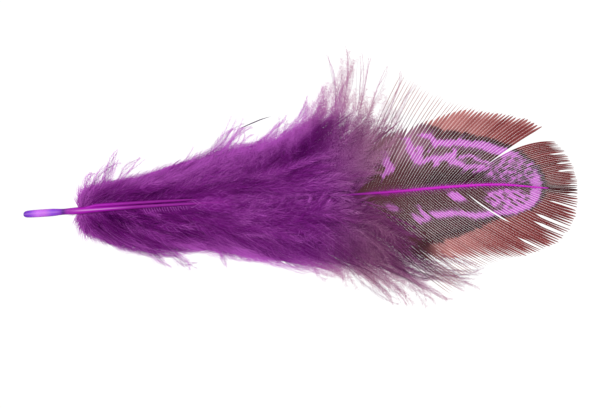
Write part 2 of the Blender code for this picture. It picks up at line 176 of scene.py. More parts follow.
# The afterfeather: margins and roots of its coat, and the height of the barbs along the shaft by x
UPPER_AFTER_MARGIN = ((-18.0, 2.6), (-12.0, 4.0), (-5.0, 5.2), (3.0, 5.6), (10.0, 4.4), (12.5, 3.0))
LOWER_AFTER_MARGIN = ((-18.0, -3.6), (-12.0, -4.8), (-6.0, -5.2), (2.0, -5.0), (9.0, -4.0), (12.0, -3.0))
AFTER_ROOTS = ((0.0, -28.0), (0.3, -20.5), (1.0, -2.0))
AFTER_BENDS = ((0.0, 0.15), (1.0, 0.10))
MIDDLE_HEIGHTS = ((-14.0, 2.6), (0.0, 2.2), (8.0, 1.6), (14.0, 1.0))

# How far along each barb of the vane its web reaches, by the x of the barb's root
UPPER_WEB_REACH = ((7.0, 0.40), (9.2, 0.54), (12.0, 0.74), (14.2, 0.93), (16.0, 0.97), (33.2, 0.99))
LOWER_WEB_REACH = ((7.0, 0.60), (11.6, 0.85), (15.0, 0.95), (18.0, 0.98), (32.9, 0.99))

# Slits between the barbs, as (share of the rim, share of the barb where the slit opens, width at the rim)
UPPER_REAR_SLITS = (
    (0.24, 0.50, 0.20), (0.33, 0.62, 0.16), (0.42, 0.76, 0.10), (0.55, 0.80, 0.08), (0.71, 0.86, 0.06),
)
UPPER_FRONT_SLITS = (
    (0.06, 0.84, 0.06), (0.14, 0.74, 0.12), (0.21, 0.82, 0.10), (0.29, 0.70, 0.18), (0.38, 0.78, 0.10),
    (0.47, 0.66, 0.16), (0.55, 0.76, 0.10), (0.63, 0.60, 0.18), (0.71, 0.78, 0.08), (0.79, 0.72, 0.14),
    (0.88, 0.66, 0.12), (0.95, 0.80, 0.08),
)
LOWER_SLITS = (
    (0.12, 0.62, 0.3), (0.2, 0.7, 0.2), (0.29, 0.80, 0.10), (0.38, 0.76, 0.10), (0.47, 0.82, 0.08),
    (0.54, 0.76, 0.08), (0.588, 0.66, 0.14), (0.62, 0.84, 0.05), (0.66, 0.76, 0.08), (0.70, 0.70, 0.08),
    (0.735, 0.60, 0.14), (0.776, 0.54, 0.18), (0.81, 0.78, 0.06), (0.85, 0.70, 0.08), (0.895, 0.50, 0.18),
    (0.93, 0.74, 0.08), (0.965, 0.66, 0.10),
)
INNER_SLIT = (0.645, 0.02, 0.50, 0.12)

# Loose barbs beyond the down, each a route of three (x, y) points from where it leaves the down to its tip
UPPER_WISPS = (
    ((4.7, 12.0), (4.6, 16.5), (3.6, 20.0)), ((5.6, 12.5), (6.4, 17.0), (6.2, 20.9)),
    ((4.6, 13.0), (5.9, 15.8), (7.2, 17.8)), ((7.6, 12.0), (8.3, 16.5), (8.3, 20.0)),
    ((8.2, 12.5), (8.9, 16.8), (9.4, 19.4)), ((8.9, 10.6), (10.6, 15.0), (12.0, 18.4)),
    ((11.0, 9.6), (12.9, 14.6), (13.7, 17.6)), ((12.2, 8.6), (14.0, 13.0), (15.7, 15.7)),
)
MARGIN_TUFTS = (
    ((-13.4, 5.4), (-11.4, 7.4), (-9.4, 10.4)), ((-12.4, 6.0), (-10.2, 8.0), (-8.4, 10.2)),
    ((-11.4, 6.0), (-9.0, 8.0), (-7.0, 9.6)), ((-6.4, 7.6), (-4.0, 9.4), (-2.4, 11.4)),
    ((-3.0, 8.8), (-0.6, 11.0), (0.8, 13.4)), ((-19.0, 3.6), (-16.4, 4.8), (-14.0, 6.3)),
)
BASE_WISPS = (
    ((-29.6, -0.6), (-29.6, 2.0), (-28.6, 3.7)), ((-28.6, -0.6), (-28.2, 2.8), (-26.7, 4.7)),
    ((-27.6, 1.0), (-26.6, 3.8), (-25.2, 6.7)), ((-26.6, 1.0), (-26.4, 3.6), (-24.9, 5.1)),
    ((-25.6, 1.6), (-24.2, 4.0), (-21.9, 5.6)), ((-30.0, -1.0), (-30.2, 0.1), (-29.8, 1.2)),
)
LOWER_WISPS = (
    ((13.0, -6.6), (19.0, -9.4), (24.6, -9.8)), ((12.0, -7.4), (18.6, -10.0), (23.5, -11.1)),
    ((11.0, -8.0), (17.6, -10.2), (22.3, -12.2)), ((10.0, -8.4), (15.6, -11.2), (20.1, -13.3)),
    ((9.0, -8.6), (14.4, -11.0), (17.8, -13.9)), ((6.6, -8.6), (11.6, -11.2), (14.3, -13.5)),
    ((6.0, -8.8), (10.2, -11.4), (12.9, -13.9)), ((5.2, -8.2), (9.6, -10.2), (12.2, -12.4)),
    ((10.6, -7.6), (15.2, -10.0), (17.9, -11.0)), ((-21.4, -6.2), (-20.0, -7.8), (-18.4, -9.2)),
    ((-18.2, -6.6), (-16.6, -8.0), (-14.8, -9.2)), ((-12.8, -6.2), (-11.6, -7.4), (-10.2, -8.5)),
)

# What lies past the down. Tufts: (count, roots, margin, bends). Bridge, the thin fluff where down and vane
# meet: (count, roots, margin, bends, reach, width of the ribbons). Wisps: (routes, copies, scatter, barbules)
UPPER_TUFTS = (
    190,
    ((0.0, -11.0), (0.5, -5.0), (1.0, 4.0)),
    ((-5.0, 8.0), (-0.8, 9.2), (2.2, 12.0), (3.7, 15.8), (4.8, 18.4), (6.0, 17.4), (7.4, 15.8),
     (8.8, 13.8), (10.6, 12.6), (12.0, 11.6)),
    ((0.0, -0.04), (0.5, -0.16), (1.0, -0.20)),
)
UPPER_BRIDGE = (
    60,
    ((0.0, -1.0), (1.0, 7.5)),
    ((3.0, 11.0), (7.0, 12.4), (10.0, 11.8), (15.0, 11.6)),
    ((0.0, -0.02), (1.0, 0.02)),
    (0.30, 0.98),
    0.06,
)
LOWER_TUFTS = (
    80,
    ((0.0, -6.0), (1.0, 6.0)),
    ((2.0, -9.8), (6.0, -10.6), (9.2, -11.6), (13.2, -13.0), (16.4, -12.6), (18.2, -12.6), (20.3, -11.6),
     (22.0, -10.0)),
    ((0.0, 0.02), (1.0, 0.04)),
)
LOWER_BRIDGE = (
    140,
    ((0.0, -2.0), (1.0, 6.0)),
    ((6.0, -8.6), (12.0, -9.6), (17.0, -9.9), (23.0, -8.2)),
    ((0.0, 0.04), (1.0, 0.04)),
    (0.40, 1.02),
    0.18,
)
UPPER_LOOSE = ((UPPER_WISPS, 2, 0.12, 0.5), (BASE_WISPS, 5, 0.35, 0.8), (MARGIN_TUFTS, 6, 0.45, 1.1))
LOWER_LOOSE = ((LOWER_WISPS, 4, 0.40, 1.2),)

LOOSE_FIBRE = ((-11.2, 6.2), (-9.2, 9.2), (-5.9, 10.9), (-4.0, 11.5))
LOOSE_FIBRE_RADIUS = ((0.0, 0.006), (0.45, 0.008), (0.55, 0.070), (0.8, 0.085), (1.0, 0.010))

# Short pale fibres by the shaft: two that cross over it, and a row of them below it
CROSSING_FIBRES = (
    ((-15.0, -0.05), (-14.2, -0.60), (-13.3, -1.25)), ((-15.1, -1.05), (-14.3, -0.62), (-13.7, -0.10)),
    ((-14.6, 0.02), (-13.8, -0.50), (-13.0, -1.00)),
)
FIBRE_ROW_X = (-21.6, -15.8)
FIBRE_ROW_COUNT = 17
FIBRE_ROW_REACH = (0.75, -1.15)
FIBRE_ROW_ASIDE = 0.25
FIBRE_HEIGHTS = (0.26, 0.42, 0.30)

# The horseshoe of orchid dye, as (x, y, half width), and the line where the brown turns to rust
HORSESHOE = (
    (16.3, 8.9, 0.20), (17.75, 8.7, 0.36), (18.6, 8.1, 0.42), (19.8, 7.8, 0.42), (21.9, 8.0, 0.42),
    (23.3, 7.8, 0.45), (24.6, 7.6, 0.52), (26.0, 7.2, 0.58), (27.4, 6.7, 0.62), (28.8, 6.2, 0.66),
    (30.1, 5.4, 0.70), (31.2, 4.4, 0.72), (31.9, 3.3, 0.72), (32.4, 2.3, 0.70), (32.4, 1.4, 0.70),
    (32.1, 0.45, 0.68), (31.5, -0.3, 0.60), (30.7, -0.95, 0.52), (29.4, -1.4, 0.44), (28.1, -1.6, 0.38),
    (26.7, -1.8, 0.34), (25.3, -2.1, 0.38), (23.9, -2.2, 0.36), (22.6, -1.9, 0.32), (21.2, -1.86, 0.34),
    (19.8, -2.0, 0.42), (18.7, -2.1, 0.42), (18.0, -1.8, 0.26),
)
RUST_EDGE = (
    (15.0, 11.4), (17.7, 10.3), (19.1, 9.9), (21.2, 9.5), (23.3, 9.2), (25.3, 8.7), (27.4, 8.1),
    (28.8, 7.6), (30.1, 6.9), (31.5, 5.9), (32.9, 4.5), (33.6, 3.0), (33.9, 1.65), (33.6, 0.55),
    (32.9, -0.4), (31.5, -1.4), (29.5, -2.1), (27.4, -2.6), (26.0, -3.2), (24.6, -3.9), (23.3, -4.4),
    (21.9, -5.0), (20.5, -5.4), (17.5, -6.3), (14.0, -7.4),
)

# The other orchid marks, each a stroke of (x, y, half width) points
STROKES = (
    ((14.9, 8.0, 0.50), (15.1, 6.9, 0.60), (15.6, 5.9, 0.55)),
    ((16.4, 7.0, 0.52), (16.4, 5.5, 0.50)),
    ((15.7, 5.4, 0.40), (17.1, 5.5, 0.50), (18.0, 5.8, 0.42), (18.8, 5.6, 0.50), (19.8, 5.9, 0.45),
     (21.2, 6.4, 0.42)),
    ((18.6, 5.5, 0.45), (18.7, 5.0, 0.45)),
    ((21.2, 6.9, 0.36), (21.2, 5.8, 0.42)),
    ((20.5, 5.5, 0.40), (21.6, 5.1, 0.45), (22.7, 4.5, 0.42), (23.9, 4.7, 0.38), (25.0, 4.5, 0.40),
     (26.0, 4.1, 0.35)),
    ((21.9, 5.9, 0.26), (23.3, 6.1, 0.30), (24.4, 5.6, 0.26), (25.5, 5.2, 0.28), (26.3, 4.8, 0.24)),
    ((23.7, 3.85, 0.20), (25.0, 4.1, 0.22)),
    ((18.7, 7.6, 0.26), (17.75, 6.9, 0.16)),
    ((13.6, 8.6, 0.12), (15.0, 8.4, 0.28)),
    ((11.4, 6.2, 0.60), (11.8, 5.2, 0.72), (12.4, 4.4, 0.62), (11.3, 3.4, 0.34)),
    ((16.2, -0.8, 0.24), (16.8, -1.8, 0.34), (17.5, -2.5, 0.36)),
    ((15.7, -2.2, 0.36), (16.5, -2.9, 0.50), (17.5, -2.6, 0.40)),
    ((20.7, 0.7, 0.45), (21.5, 0.45, 0.68), (22.4, 0.1, 0.40)),
    ((12.1, -1.0, 0.40), (12.9, -1.2, 0.52)),
)
SPECKLED_PATCH = (29.0, 4.1, 3.6, 2.0)
STRIPED_PATCH = (28.5, 0.2, 3.2, 1.5)

# Colours, as linear red, green, blue
DEEP_PURPLE = (0.045, 0.0010, 0.058)
MID_PURPLE = (0.200, 0.012, 0.225)
BRIGHT_PURPLE = (0.560, 0.120, 0.600)
DEEP_MAUVE = (0.070, 0.014, 0.060)
MID_MAUVE = (0.215, 0.050, 0.160)
PALE_MAUVE = (0.460, 0.230, 0.340)
PALE_TIP = (0.480, 0.200, 0.290)
DARK_BROWN = (0.036, 0.012, 0.016)
GREY_BROWN = (0.110, 0.040, 0.050)
DARK_RUST = (0.090, 0.018, 0.020)
MID_RUST = (0.230, 0.045, 0.048)
PALE_RUST = (0.480, 0.195, 0.190)
ORCHID = (0.580, 0.165, 0.600)
MAGENTA = (0.500, 0.012, 0.470)
# Painted shade for the shafts' sides and underside, and a painted highlight for the top of the quill
QUILL_PAINTED_SHADE = (0.25, 0.004, 0.30)
QUILL_PAINTED_HIGHLIGHT = (0.62, 0.30, 0.62)
DARK_TIP = (0.055, 0.014, 0.018)
STAGE_WHITE = (1.0, 1.0, 1.0)

# The quill's colours from its end, as (share of the length below, colour). The pale pink stops are painted
# light coming through the hollow quill
QUILL_RAMP_LENGTH = 15.0
QUILL_STOPS = (
    (0.0, (0.10, 0.015, 0.36)), (0.06, (0.19, 0.04, 0.54)), (0.13, (0.50, 0.14, 0.74)),
    (0.20, (0.46, 0.12, 0.66)), (0.26, (0.24, 0.06, 0.60)), (0.33, (0.20, 0.03, 0.46)),
    (0.36, (0.09, 0.01, 0.20)), (0.40, (0.28, 0.02, 0.34)), (0.50, (0.33, 0.008, 0.36)),
    (0.75, (0.31, 0.004, 0.34)), (1.0, (0.23, 0.006, 0.24)),
)

# The stage, in metres and degrees
FLOOR_HALF = 0.6
FLOOR_GLOW = 1.05
WORLD_GLOW = 0.85
LAMP_SIZE = (0.25, 0.12)
LAMP_POWER = 0.55
LAMP_PLACE = (-0.04, 0.10, 0.30)
LAMP_TILT = (-18, -8)
CLIP_START = 0.01
CLIP_END = 10.0

CAMERA_LENS = 100.0
SENSOR_WIDTH = 36.0
PICTURE_WIDTH = 84.2
PICTURE_CENTRE = (0.69, -0.55)
FOCUS_HEIGHT = 1.5


def smooth(low, high, x):
    """Share from 0 at low to 1 at high, easing in and out."""
    t = np.clip((x - low) / (high - low), 0.0, 1.0)
    return t * t * (3 - 2 * t)


def above_zero(heights):
    """Heights eased to stay above 0, so that fibres close to a limit aren't pressed flat onto it."""
    return SOFTNESS * np.logaddexp(0.0, heights / SOFTNESS)


def value_at(table, x):
    """Smooth value at each x through (x, value) pairs, held level beyond both ends."""
    places, values = np.array(table, dtype=float).T
    slopes = np.empty_like(values)
    slopes[1:-1] = (values[2:] - values[:-2]) / (places[2:] - places[:-2])
    slopes[0] = (values[1] - values[0]) / (places[1] - places[0])
    slopes[-1] = (values[-1] - values[-2]) / (places[-1] - places[-2])
    x = np.clip(x, places[0], places[-1])
    span = np.clip(np.searchsorted(places, x, side="right") - 1, 0, len(places) - 2)
    width = places[span + 1] - places[span]
    t = (x - places[span]) / width
    return (values[span] * (2 * t**3 - 3 * t**2 + 1) + slopes[span] * width * (t**3 - 2 * t**2 + t)
            + values[span + 1] * (3 * t**2 - 2 * t**3) + slopes[span + 1] * width * (t**3 - t**2))


def point_along(route, share):
    """Points at shares (0 to 1) of the smooth curve through the (x, y) points of a route."""
    points = np.array(route, dtype=float)
    lengths = np.concatenate(([0.0], np.cumsum(np.hypot(*np.diff(points, axis=0).T))))
    reach = np.asarray(share) * lengths[-1]
    return np.stack([value_at(np.column_stack((lengths, points[:, k])), reach) for k in (0, 1)], axis=-1)


def between(pair, share):
    """Value at a share of the way from the first of a pair to the second."""
    return pair[0] + (pair[1] - pair[0]) * share


def shaft_point(x):
    """Centre of the shaft at each x."""
    x = np.asarray(x, dtype=float)
    return np.stack((x, value_at(SHAFT_Y, x), value_at(SHAFT_Z, x)), axis=-1)


def second_shaft_point(x):
    """Centre of the afterfeather's thin shaft at each x."""
    spread = np.clip((np.asarray(x, dtype=float) - SECOND_SHAFT_START_X) / SECOND_SHAFT_SPREAD, 0.0, 1.0)
    aside = np.stack((0 * spread, SECOND_SHAFT_OFFSET * spread, SECOND_SHAFT_LIFT * spread), axis=-1)
    return shaft_point(x) + aside


def unit(vectors):
    """Vectors at length 1."""
    return vectors / np.maximum(np.linalg.norm(vectors, axis=-1, keepdims=True), 1e-9)


def quarter_turn(vectors):
    """Level vectors at length 1, a quarter turn to the left of the given ones as seen from above."""
    return unit(np.stack((-vectors[..., 1], vectors[..., 0], np.zeros(vectors.shape[:-1])), axis=-1))


def level_turn(chords):
    """The level part of each chord, a quarter turn to the left and as long as it is."""
    return np.column_stack((-chords[:, 1], chords[:, 0], np.zeros(len(chords))))


def jittered_shares(rng, count):
    """Shares from 0 to 1, one at random in each of as many equal steps."""
    return (np.arange(count) + rng.uniform(0.0, 1.0, count)) / count


def stroke_distance(points, stroke):
    """Least distance from each point to a stroke of (x, y, half width), counted from its edge."""
    best = np.full(len(points), 1e9)
    knots = np.array(stroke, dtype=float)
    for a, b in zip(knots, knots[1:]):
        run = b[:2] - a[:2]
        t = np.clip((points - a[:2]) @ run / (run @ run), 0.0, 1.0)
        gap = np.hypot(*(points - a[:2] - t[:, None] * run).T)
        best = np.minimum(best, gap - (a[2] + (b[2] - a[2]) * t))
    return best


def side_distance(points, route):
    """Distance of each point from a route, above 0 on the left of the way the route runs."""
    best = np.full(len(points), 1e9)
    signed = np.zeros(len(points))
    knots = np.array(route, dtype=float)
    for a, b in zip(knots, knots[1:]):
        run = b - a
        t = np.clip((points - a) @ run / (run @ run), 0.0, 1.0)
        away = points - a - t[:, None] * run
        gap = np.hypot(*away.T)
        left = np.sign(run[0] * (points - a)[:, 1] - run[1] * (points - a)[:, 0])
        signed = np.where(gap < best, gap * left, signed)
        best = np.minimum(best, gap)
    return signed


def patch_depth(points, patch):
    """1 in the middle of an oval patch (x, y, half length, half height), falling through 0 at its edge."""
    x, y, half_length, half_height = patch
    return 1 - np.hypot((points[:, 0] - x) / half_length, (points[:, 1] - y) / half_height)


def place(name, data):
    """Object with this mesh, lamp or camera, put into the scene."""
    item = bpy.data.objects.new(name, data)
    bpy.context.scene.collection.objects.link(item)
    return item


class Piece:
    """Points, triangles and values of one piece, gathered fibre by fibre."""

    def __init__(self):
        self.points = []
        self.triangles = []
        self.values = []
        self.count = 0

    def add(self, points, triangles, values):
        """Fibres of the same build: points (n, k, 3), triangles (m, 3) of one fibre, values (n, k, j)."""
        fibres, corners = points.shape[:2]
        starts = self.count + corners * np.arange(fibres)
        self.points.append(points.reshape(-1, 3))
        self.triangles.append((starts[:, None, None] + triangles[None]).reshape(-1, 3))
        self.values.append(values.reshape(-1, values.shape[-1]))
        self.count += fibres * corners

    def build(self, name, colour_values, material, ceiling=None):
        """Mesh object, with the float attributes that colour_values works out from points and values."""
        points = np.concatenate(self.points)
        triangles = np.concatenate(self.triangles)
        if ceiling:
            top = ceiling(points)
            points[:, 2] = top - above_zero(top - points[:, 2])
        points[:, 2] = SURFACE_GAP + above_zero(points[:, 2] - SURFACE_GAP)
        mesh = bpy.data.meshes.new(name)
        mesh.vertices.add(len(points))
        mesh.vertices.foreach_set("co", (points * MM).astype(np.float32).ravel())
        mesh.loops.add(triangles.size)
        mesh.loops.foreach_set("vertex_index", triangles.astype(np.int32).ravel())
        mesh.polygons.add(len(triangles))
        mesh.polygons.foreach_set("loop_start", np.arange(0, triangles.size, 3, dtype=np.int32))
        mesh.polygons.foreach_set("use_smooth", np.ones(len(triangles), dtype=bool))
        mesh.update(calc_edges=True)
        for key, numbers in colour_values(points, np.concatenate(self.values)).items():
            layer = mesh.attributes.new(key, "FLOAT", "POINT")
            layer.data.foreach_set("value", numbers.astype(np.float32))
        low = points.min(axis=0)
        size = points.max(axis=0) - low
        flat = ((points - low) / size)[triangles.ravel(), :2]
        mesh.uv_layers.new(name="OFBake").data.foreach_set("uv", flat.astype(np.float32).ravel())
        mesh.materials.append(material)
        print(name, len(triangles), "triangles")
        return place(name, mesh)


def strip_triangles(stations, pointed):
    """Triangles of a flat strip through pairs of points, closed to one last point if pointed."""
    pairs = stations - 1 if pointed else stations
    faces = []
    for j in range(pairs - 1):
        a = 2 * j
        faces += [(a, a + 1, a + 3), (a, a + 3, a + 2)]
    if pointed:
        faces.append((2 * pairs - 2, 2 * pairs - 1, 2 * pairs))
    return np.array(faces)


def add_strips(piece, paths, sideways, widths, values):
    """Flat strips along paths (n, k, 3) that end in a point, their half widths laid along sideways."""
    half = sideways * (np.broadcast_to(widths, paths.shape[:2]) / 2)[..., None]
    pairs = np.stack((paths - half, paths + half), axis=2).reshape(len(paths), -1, 3)
    points = np.concatenate((pairs[:, :-2], paths[:, -1:]), axis=1)
    spread = np.broadcast_to(values[:, None], (len(paths), points.shape[1], values.shape[-1]))
    piece.add(points, strip_triangles(paths.shape[1], True), spread)


def tube_triangles(rings, sides):
    """Triangles between the rings of a tube, as a list."""
    faces = []
    for r in range(rings - 1):
        for k in range(sides):
            a = r * sides + k
            b = r * sides + (k + 1) % sides
            faces += [(a, b, b + sides), (a, b + sides, a + sides)]
    return faces


def add_tubes(piece, paths, radii, values, sides=3):
    """Thin tubes along paths (n, k, 3) that end in a point. Values are given at each station."""
    count, stations = paths.shape[:2]
    ahead = unit(np.gradient(paths, axis=1))
    left = quarter_turn(ahead)
    over = np.cross(ahead, left)
    angles = 2 * np.pi * (np.arange(sides) + 0.5) / sides
    reach = np.broadcast_to(radii, (count, stations))[:, :-1, None, None]
    rings = (paths[:, :-1, None] + reach * (left[:, :-1, None] * np.cos(angles)[None, None, :, None]
                                            + over[:, :-1, None] * np.sin(angles)[None, None, :, None]))
    points = np.concatenate((rings.reshape(count, -1, 3), paths[:, -1:]), axis=1)
    faces = tube_triangles(stations - 1, sides)
    last = (stations - 2) * sides
    faces += [(last + k, last + (k + 1) % sides, (stations - 1) * sides) for k in range(sides)]
    spread = np.repeat(values[:, :-1], sides, axis=1)
    piece.add(points, np.array(faces), np.concatenate((spread, values[:, -1:]), axis=1))


class Barbs:
    """Curved barbs held as arrays, each from its root on a shaft to its tip."""

    def __init__(self, roots, middles, tips, wander, rng):
        self.roots = roots
        self.middles = middles
        self.tips = tips
        self.count = len(roots)
        self.wander = wander * rng.uniform(0.2, 1.0, self.count)
        self.turns = rng.uniform(0.6, 1.7, self.count)
        self.phase = rng.uniform(0.0, 2 * np.pi, self.count)
        self.tone = rng.normal(0.0, 1.0, self.count)
        self.lengths = np.linalg.norm(middles - roots, axis=1) + np.linalg.norm(tips - middles, axis=1)

    def at(self, which, share):
        """Points of the chosen barbs at shares of their length, 0 at the root and 1 at the tip."""
        t = share[..., None]
        points = (self.roots[which] * (1 - t)**2 + self.middles[which] * (2 * t * (1 - t))
                  + self.tips[which] * t**2)
        across = quarter_turn(self.tips - self.roots)[which]
        swing = self.wander[which] * share * np.sin(2 * np.pi * self.turns[which] * share + self.phase[which])
        lift = 0.5 * self.wander[which] * share * np.cos(5 * share + self.phase[which])
        return points + across * swing[..., None] + UP * lift[..., None]

    def heading(self, which, share):
        """Direction in which the chosen barbs run at these shares."""
        step = 0.01
        return unit(self.at(which, share + step) - self.at(which, share - step))


class VaneBarbs(Barbs):
    """Barbs of the vane: they lie in its cupped sheet, and slits push their outer ends apart."""

    def __init__(self, roots, middles, tips, side, drop, slits, fade, shares, rng):
        super().__init__(roots, middles, tips, 0.0, rng)
        self.vane_side = side
        self.drop = drop
        self.slits = slits
        self.shares = shares
        self.fade = rng.uniform(*fade, self.count)

    def slit_openings(self, which, share):
        """For every slit: how far along the rim the barbs are from it, and its width beside them."""
        for place, start, width in self.slits:
            yield self.shares[which] - place, width * smooth(start, min(start + 0.22, 1.0), share)
        if self.vane_side < 0:
            place, start, end, width = INNER_SLIT
            closed = smooth(end, end + 0.12, share)
            yield self.shares[which] - place, width * smooth(start, start + 0.25, share) * (1 - closed)

    def push(self, which, share):
        """How far the slits nearby push the barbs across, to the left of their way."""
        push = np.zeros(share.shape)
        for away, width in self.slit_openings(which, share):
            push += np.where(away < 0, -0.5, 0.5) * width * np.exp(-np.abs(away) / SLIT_REACH)
        return push * -self.vane_side

    def bareness(self, which, share, side):
        """Share of the web that is missing on that side, where the barb borders a slit."""
        bare = np.zeros(share.shape)
        for away, width in self.slit_openings(which, share):
            borders = (np.abs(away) < 0.8 / self.count) & (np.sign(away) == side * self.vane_side)
            bare = np.where(borders, np.maximum(bare, np.clip(width / 0.12, 0, 1)), bare)
        return bare

    def gap(self, which, share, side):
        """Distance across to the next barb on that side, as a level width."""
        ahead = self.heading(which, share)
        other = np.clip(which - (side * self.vane_side).astype(int), 0, self.count - 1)
        across = self.at(other, share) - self.at(which, share)
        width = np.abs(ahead[:, 0] * across[:, 1] - ahead[:, 1] * across[:, 0])
        return np.where(other == which, OUTERMOST_WEB_ROOM, width)

    def at(self, which, share):
        """Points of the chosen barbs at shares of their length, on the vane's sheet."""
        points = super().at(which, share)
        push = self.push(which, share)
        points = points + quarter_turn(self.tips - self.roots)[which] * push[..., None]
        off_shaft = points[..., 1] - value_at(SHAFT_Y, points[..., 0])
        points[..., 2] = value_at(SHAFT_Z, points[..., 0]) - self.drop + VANE_CUP * off_shaft**2
        return points


def every_barbule(barbs, spacing, rng):
    """Barb number, share along it and side (-1 or 1) of every barbule, both sides of each barb."""
    counts = np.maximum((barbs.lengths / spacing).astype(int), 2)
    which = np.repeat(np.arange(barbs.count), 2 * counts)
    before = np.concatenate(([0], np.cumsum(2 * counts)[:-1]))
    order = np.arange(len(which)) - np.repeat(before, 2 * counts)
    side = np.where(order % 2 == 0, 1.0, -1.0)
    share = (order // 2 + rng.uniform(0.0, 1.0, len(which))) / counts[which]
    return which, share, side


def every_station(barbs, stations):
    """Barb number and share along it of every station, one row for each barb."""
    which = np.arange(barbs.count)[:, None].repeat(stations, axis=1)
    share = np.linspace(0.0, 1.0, stations)[None].repeat(barbs.count, axis=0)
    return which, share


def grow_vane(name, side, spacing, crowding, parts, web_reach, material):
    """One side of the vane from its parts of (rim, roots, bends, lean, drop, slits, fade)."""
    rng = np.random.default_rng(SEEDS[name])
    piece = Piece()
    for rim, roots_x, bends, lean, drop, slits, fade in parts:
        count = round((roots_x[1] - roots_x[0]) / spacing)
        shares = (np.arange(count) + 0.5) / count
        shares = shares + rng.normal(0.0, 0.08 / count, count)
        root_x = between(roots_x, shares * (1 - crowding + crowding * shares))
        roots = shaft_point(root_x)
        tips = np.column_stack((point_along(rim, shares), np.zeros(count)))
        ragged = 1 - np.abs(rng.normal(0.0, 0.012, count))
        tips[:, :2] = roots[:, :2] + (tips[:, :2] - roots[:, :2]) * ragged[:, None]
        tips[:, 2] = roots[:, 2]
        chord = tips - roots
        across = level_turn(chord) * side
        middles = roots + chord * (0.5 + lean) + across * between(bends, shares)[:, None]
        barbs = VaneBarbs(roots, middles, tips, side, drop, slits, fade, shares, rng)
        reach = np.clip(value_at(web_reach, root_x) + rng.normal(0.0, 0.006, count), 0.3, 0.995)
        jitter = rng.normal(0.0, 0.10, count)
        add_vane_rami(piece, barbs, jitter)
        add_vane_web(piece, barbs, reach, jitter)
    return piece.build(name, vane_values, material)


def ink_points(barbs, which, share, jitter):
    """Where on the pattern the chosen barbs take their colour from, shifted a little barb by barb."""
    points = barbs.at(which, share)
    shifted = points + barbs.heading(which, share) * jitter[which][..., None]
    return shifted[..., :2]


def add_vane_rami(piece, barbs, jitter):
    """The barbs themselves."""
    which, share = every_station(barbs, 14)
    ink = ink_points(barbs, which, share, jitter)
    values = np.dstack((ink, barbs.tone[which], share, np.ones_like(share)))
    add_tubes(piece, barbs.at(which, share), between(VANE_BARB_RADII, share), values)


def web_width(barbs, which, share, side, reach):
    """Room for the web beside a barb on one side, narrowing at its tip and along slits."""
    edge = np.clip((reach[which] - share) * barbs.lengths[which] / barbs.fade[which], 0.0, 1.0)
    room = np.minimum(barbs.gap(which, share, side), WEB_ROOM_LIMIT) * between((0.24, 1.0), edge**0.7)
    return np.minimum(room, between((0.5, 0.08), barbs.bareness(which, share, side)))


def add_vane_web(piece, barbs, reach, jitter):
    """The web of hooked barbules as a ribbon along each barb, with a narrow gap to its neighbours."""
    stations = 72
    which, share = (array.ravel() for array in every_station(barbs, stations))
    share = share * reach[which]
    base = barbs.at(which, share)
    left = quarter_turn(barbs.heading(which, share))
    cover = value_at(WEB_COVER, share) + 0.02 * (1 - smooth(12.0, 16.0, base[:, 0]))
    edges = []
    for side, dip in ((1.0, -0.015), (-1.0, -0.035)):
        room = web_width(barbs, which, share, np.full(len(which), side), reach)
        edges.append(base + left * (side * room * cover)[:, None] + UP * dip)
    points = np.stack(edges, axis=1).reshape(barbs.count, 2 * stations, 3)
    ink = ink_points(barbs, which, share, jitter)
    values = np.column_stack((ink, barbs.tone[which], share, np.zeros(len(which))))
    spread = values.repeat(2, axis=0).reshape(barbs.count, 2 * stations, -1)
    piece.add(points, strip_triangles(stations, False), spread)


def dashes(ink, length, height, slant, size):
    """1 on staggered rows of small dashes and 0 between them. The rows rise by the slant."""
    x, y = ink.T
    rows = (y - slant * x + 0.16 * np.sin(2.1 * x)) / height
    row = np.floor(rows)
    across = rows - row - 0.5
    along = x / length + 0.5 * (row % 2) + 0.17 * np.sin(5 * row)
    along = along - np.floor(along) - 0.5
    return 1 - smooth(size, size + 0.2, np.hypot(along / 0.42, across / 0.44))


def orchid_amount(ink):
    """How much of the pale orchid pattern covers each point of the vane."""
    soft = 0.09
    amount = 1 - smooth(-soft, soft, stroke_distance(ink, HORSESHOE))
    for stroke in STROKES:
        amount = np.maximum(amount, 1 - smooth(-soft, soft, stroke_distance(ink, stroke) + STROKE_TRIM))
    speckled = smooth(0.0, 0.12, patch_depth(ink, SPECKLED_PATCH))
    striped = smooth(0.0, 0.12, patch_depth(ink, STRIPED_PATCH))
    dark = np.maximum(speckled * dashes(ink, 1.25, 0.76, -0.16, 0.95),
                      striped * dashes(ink, 1.60, 0.68, -0.22, 0.75))
    return np.maximum(amount, np.maximum(speckled, striped)) * (1 - 0.92 * dark)


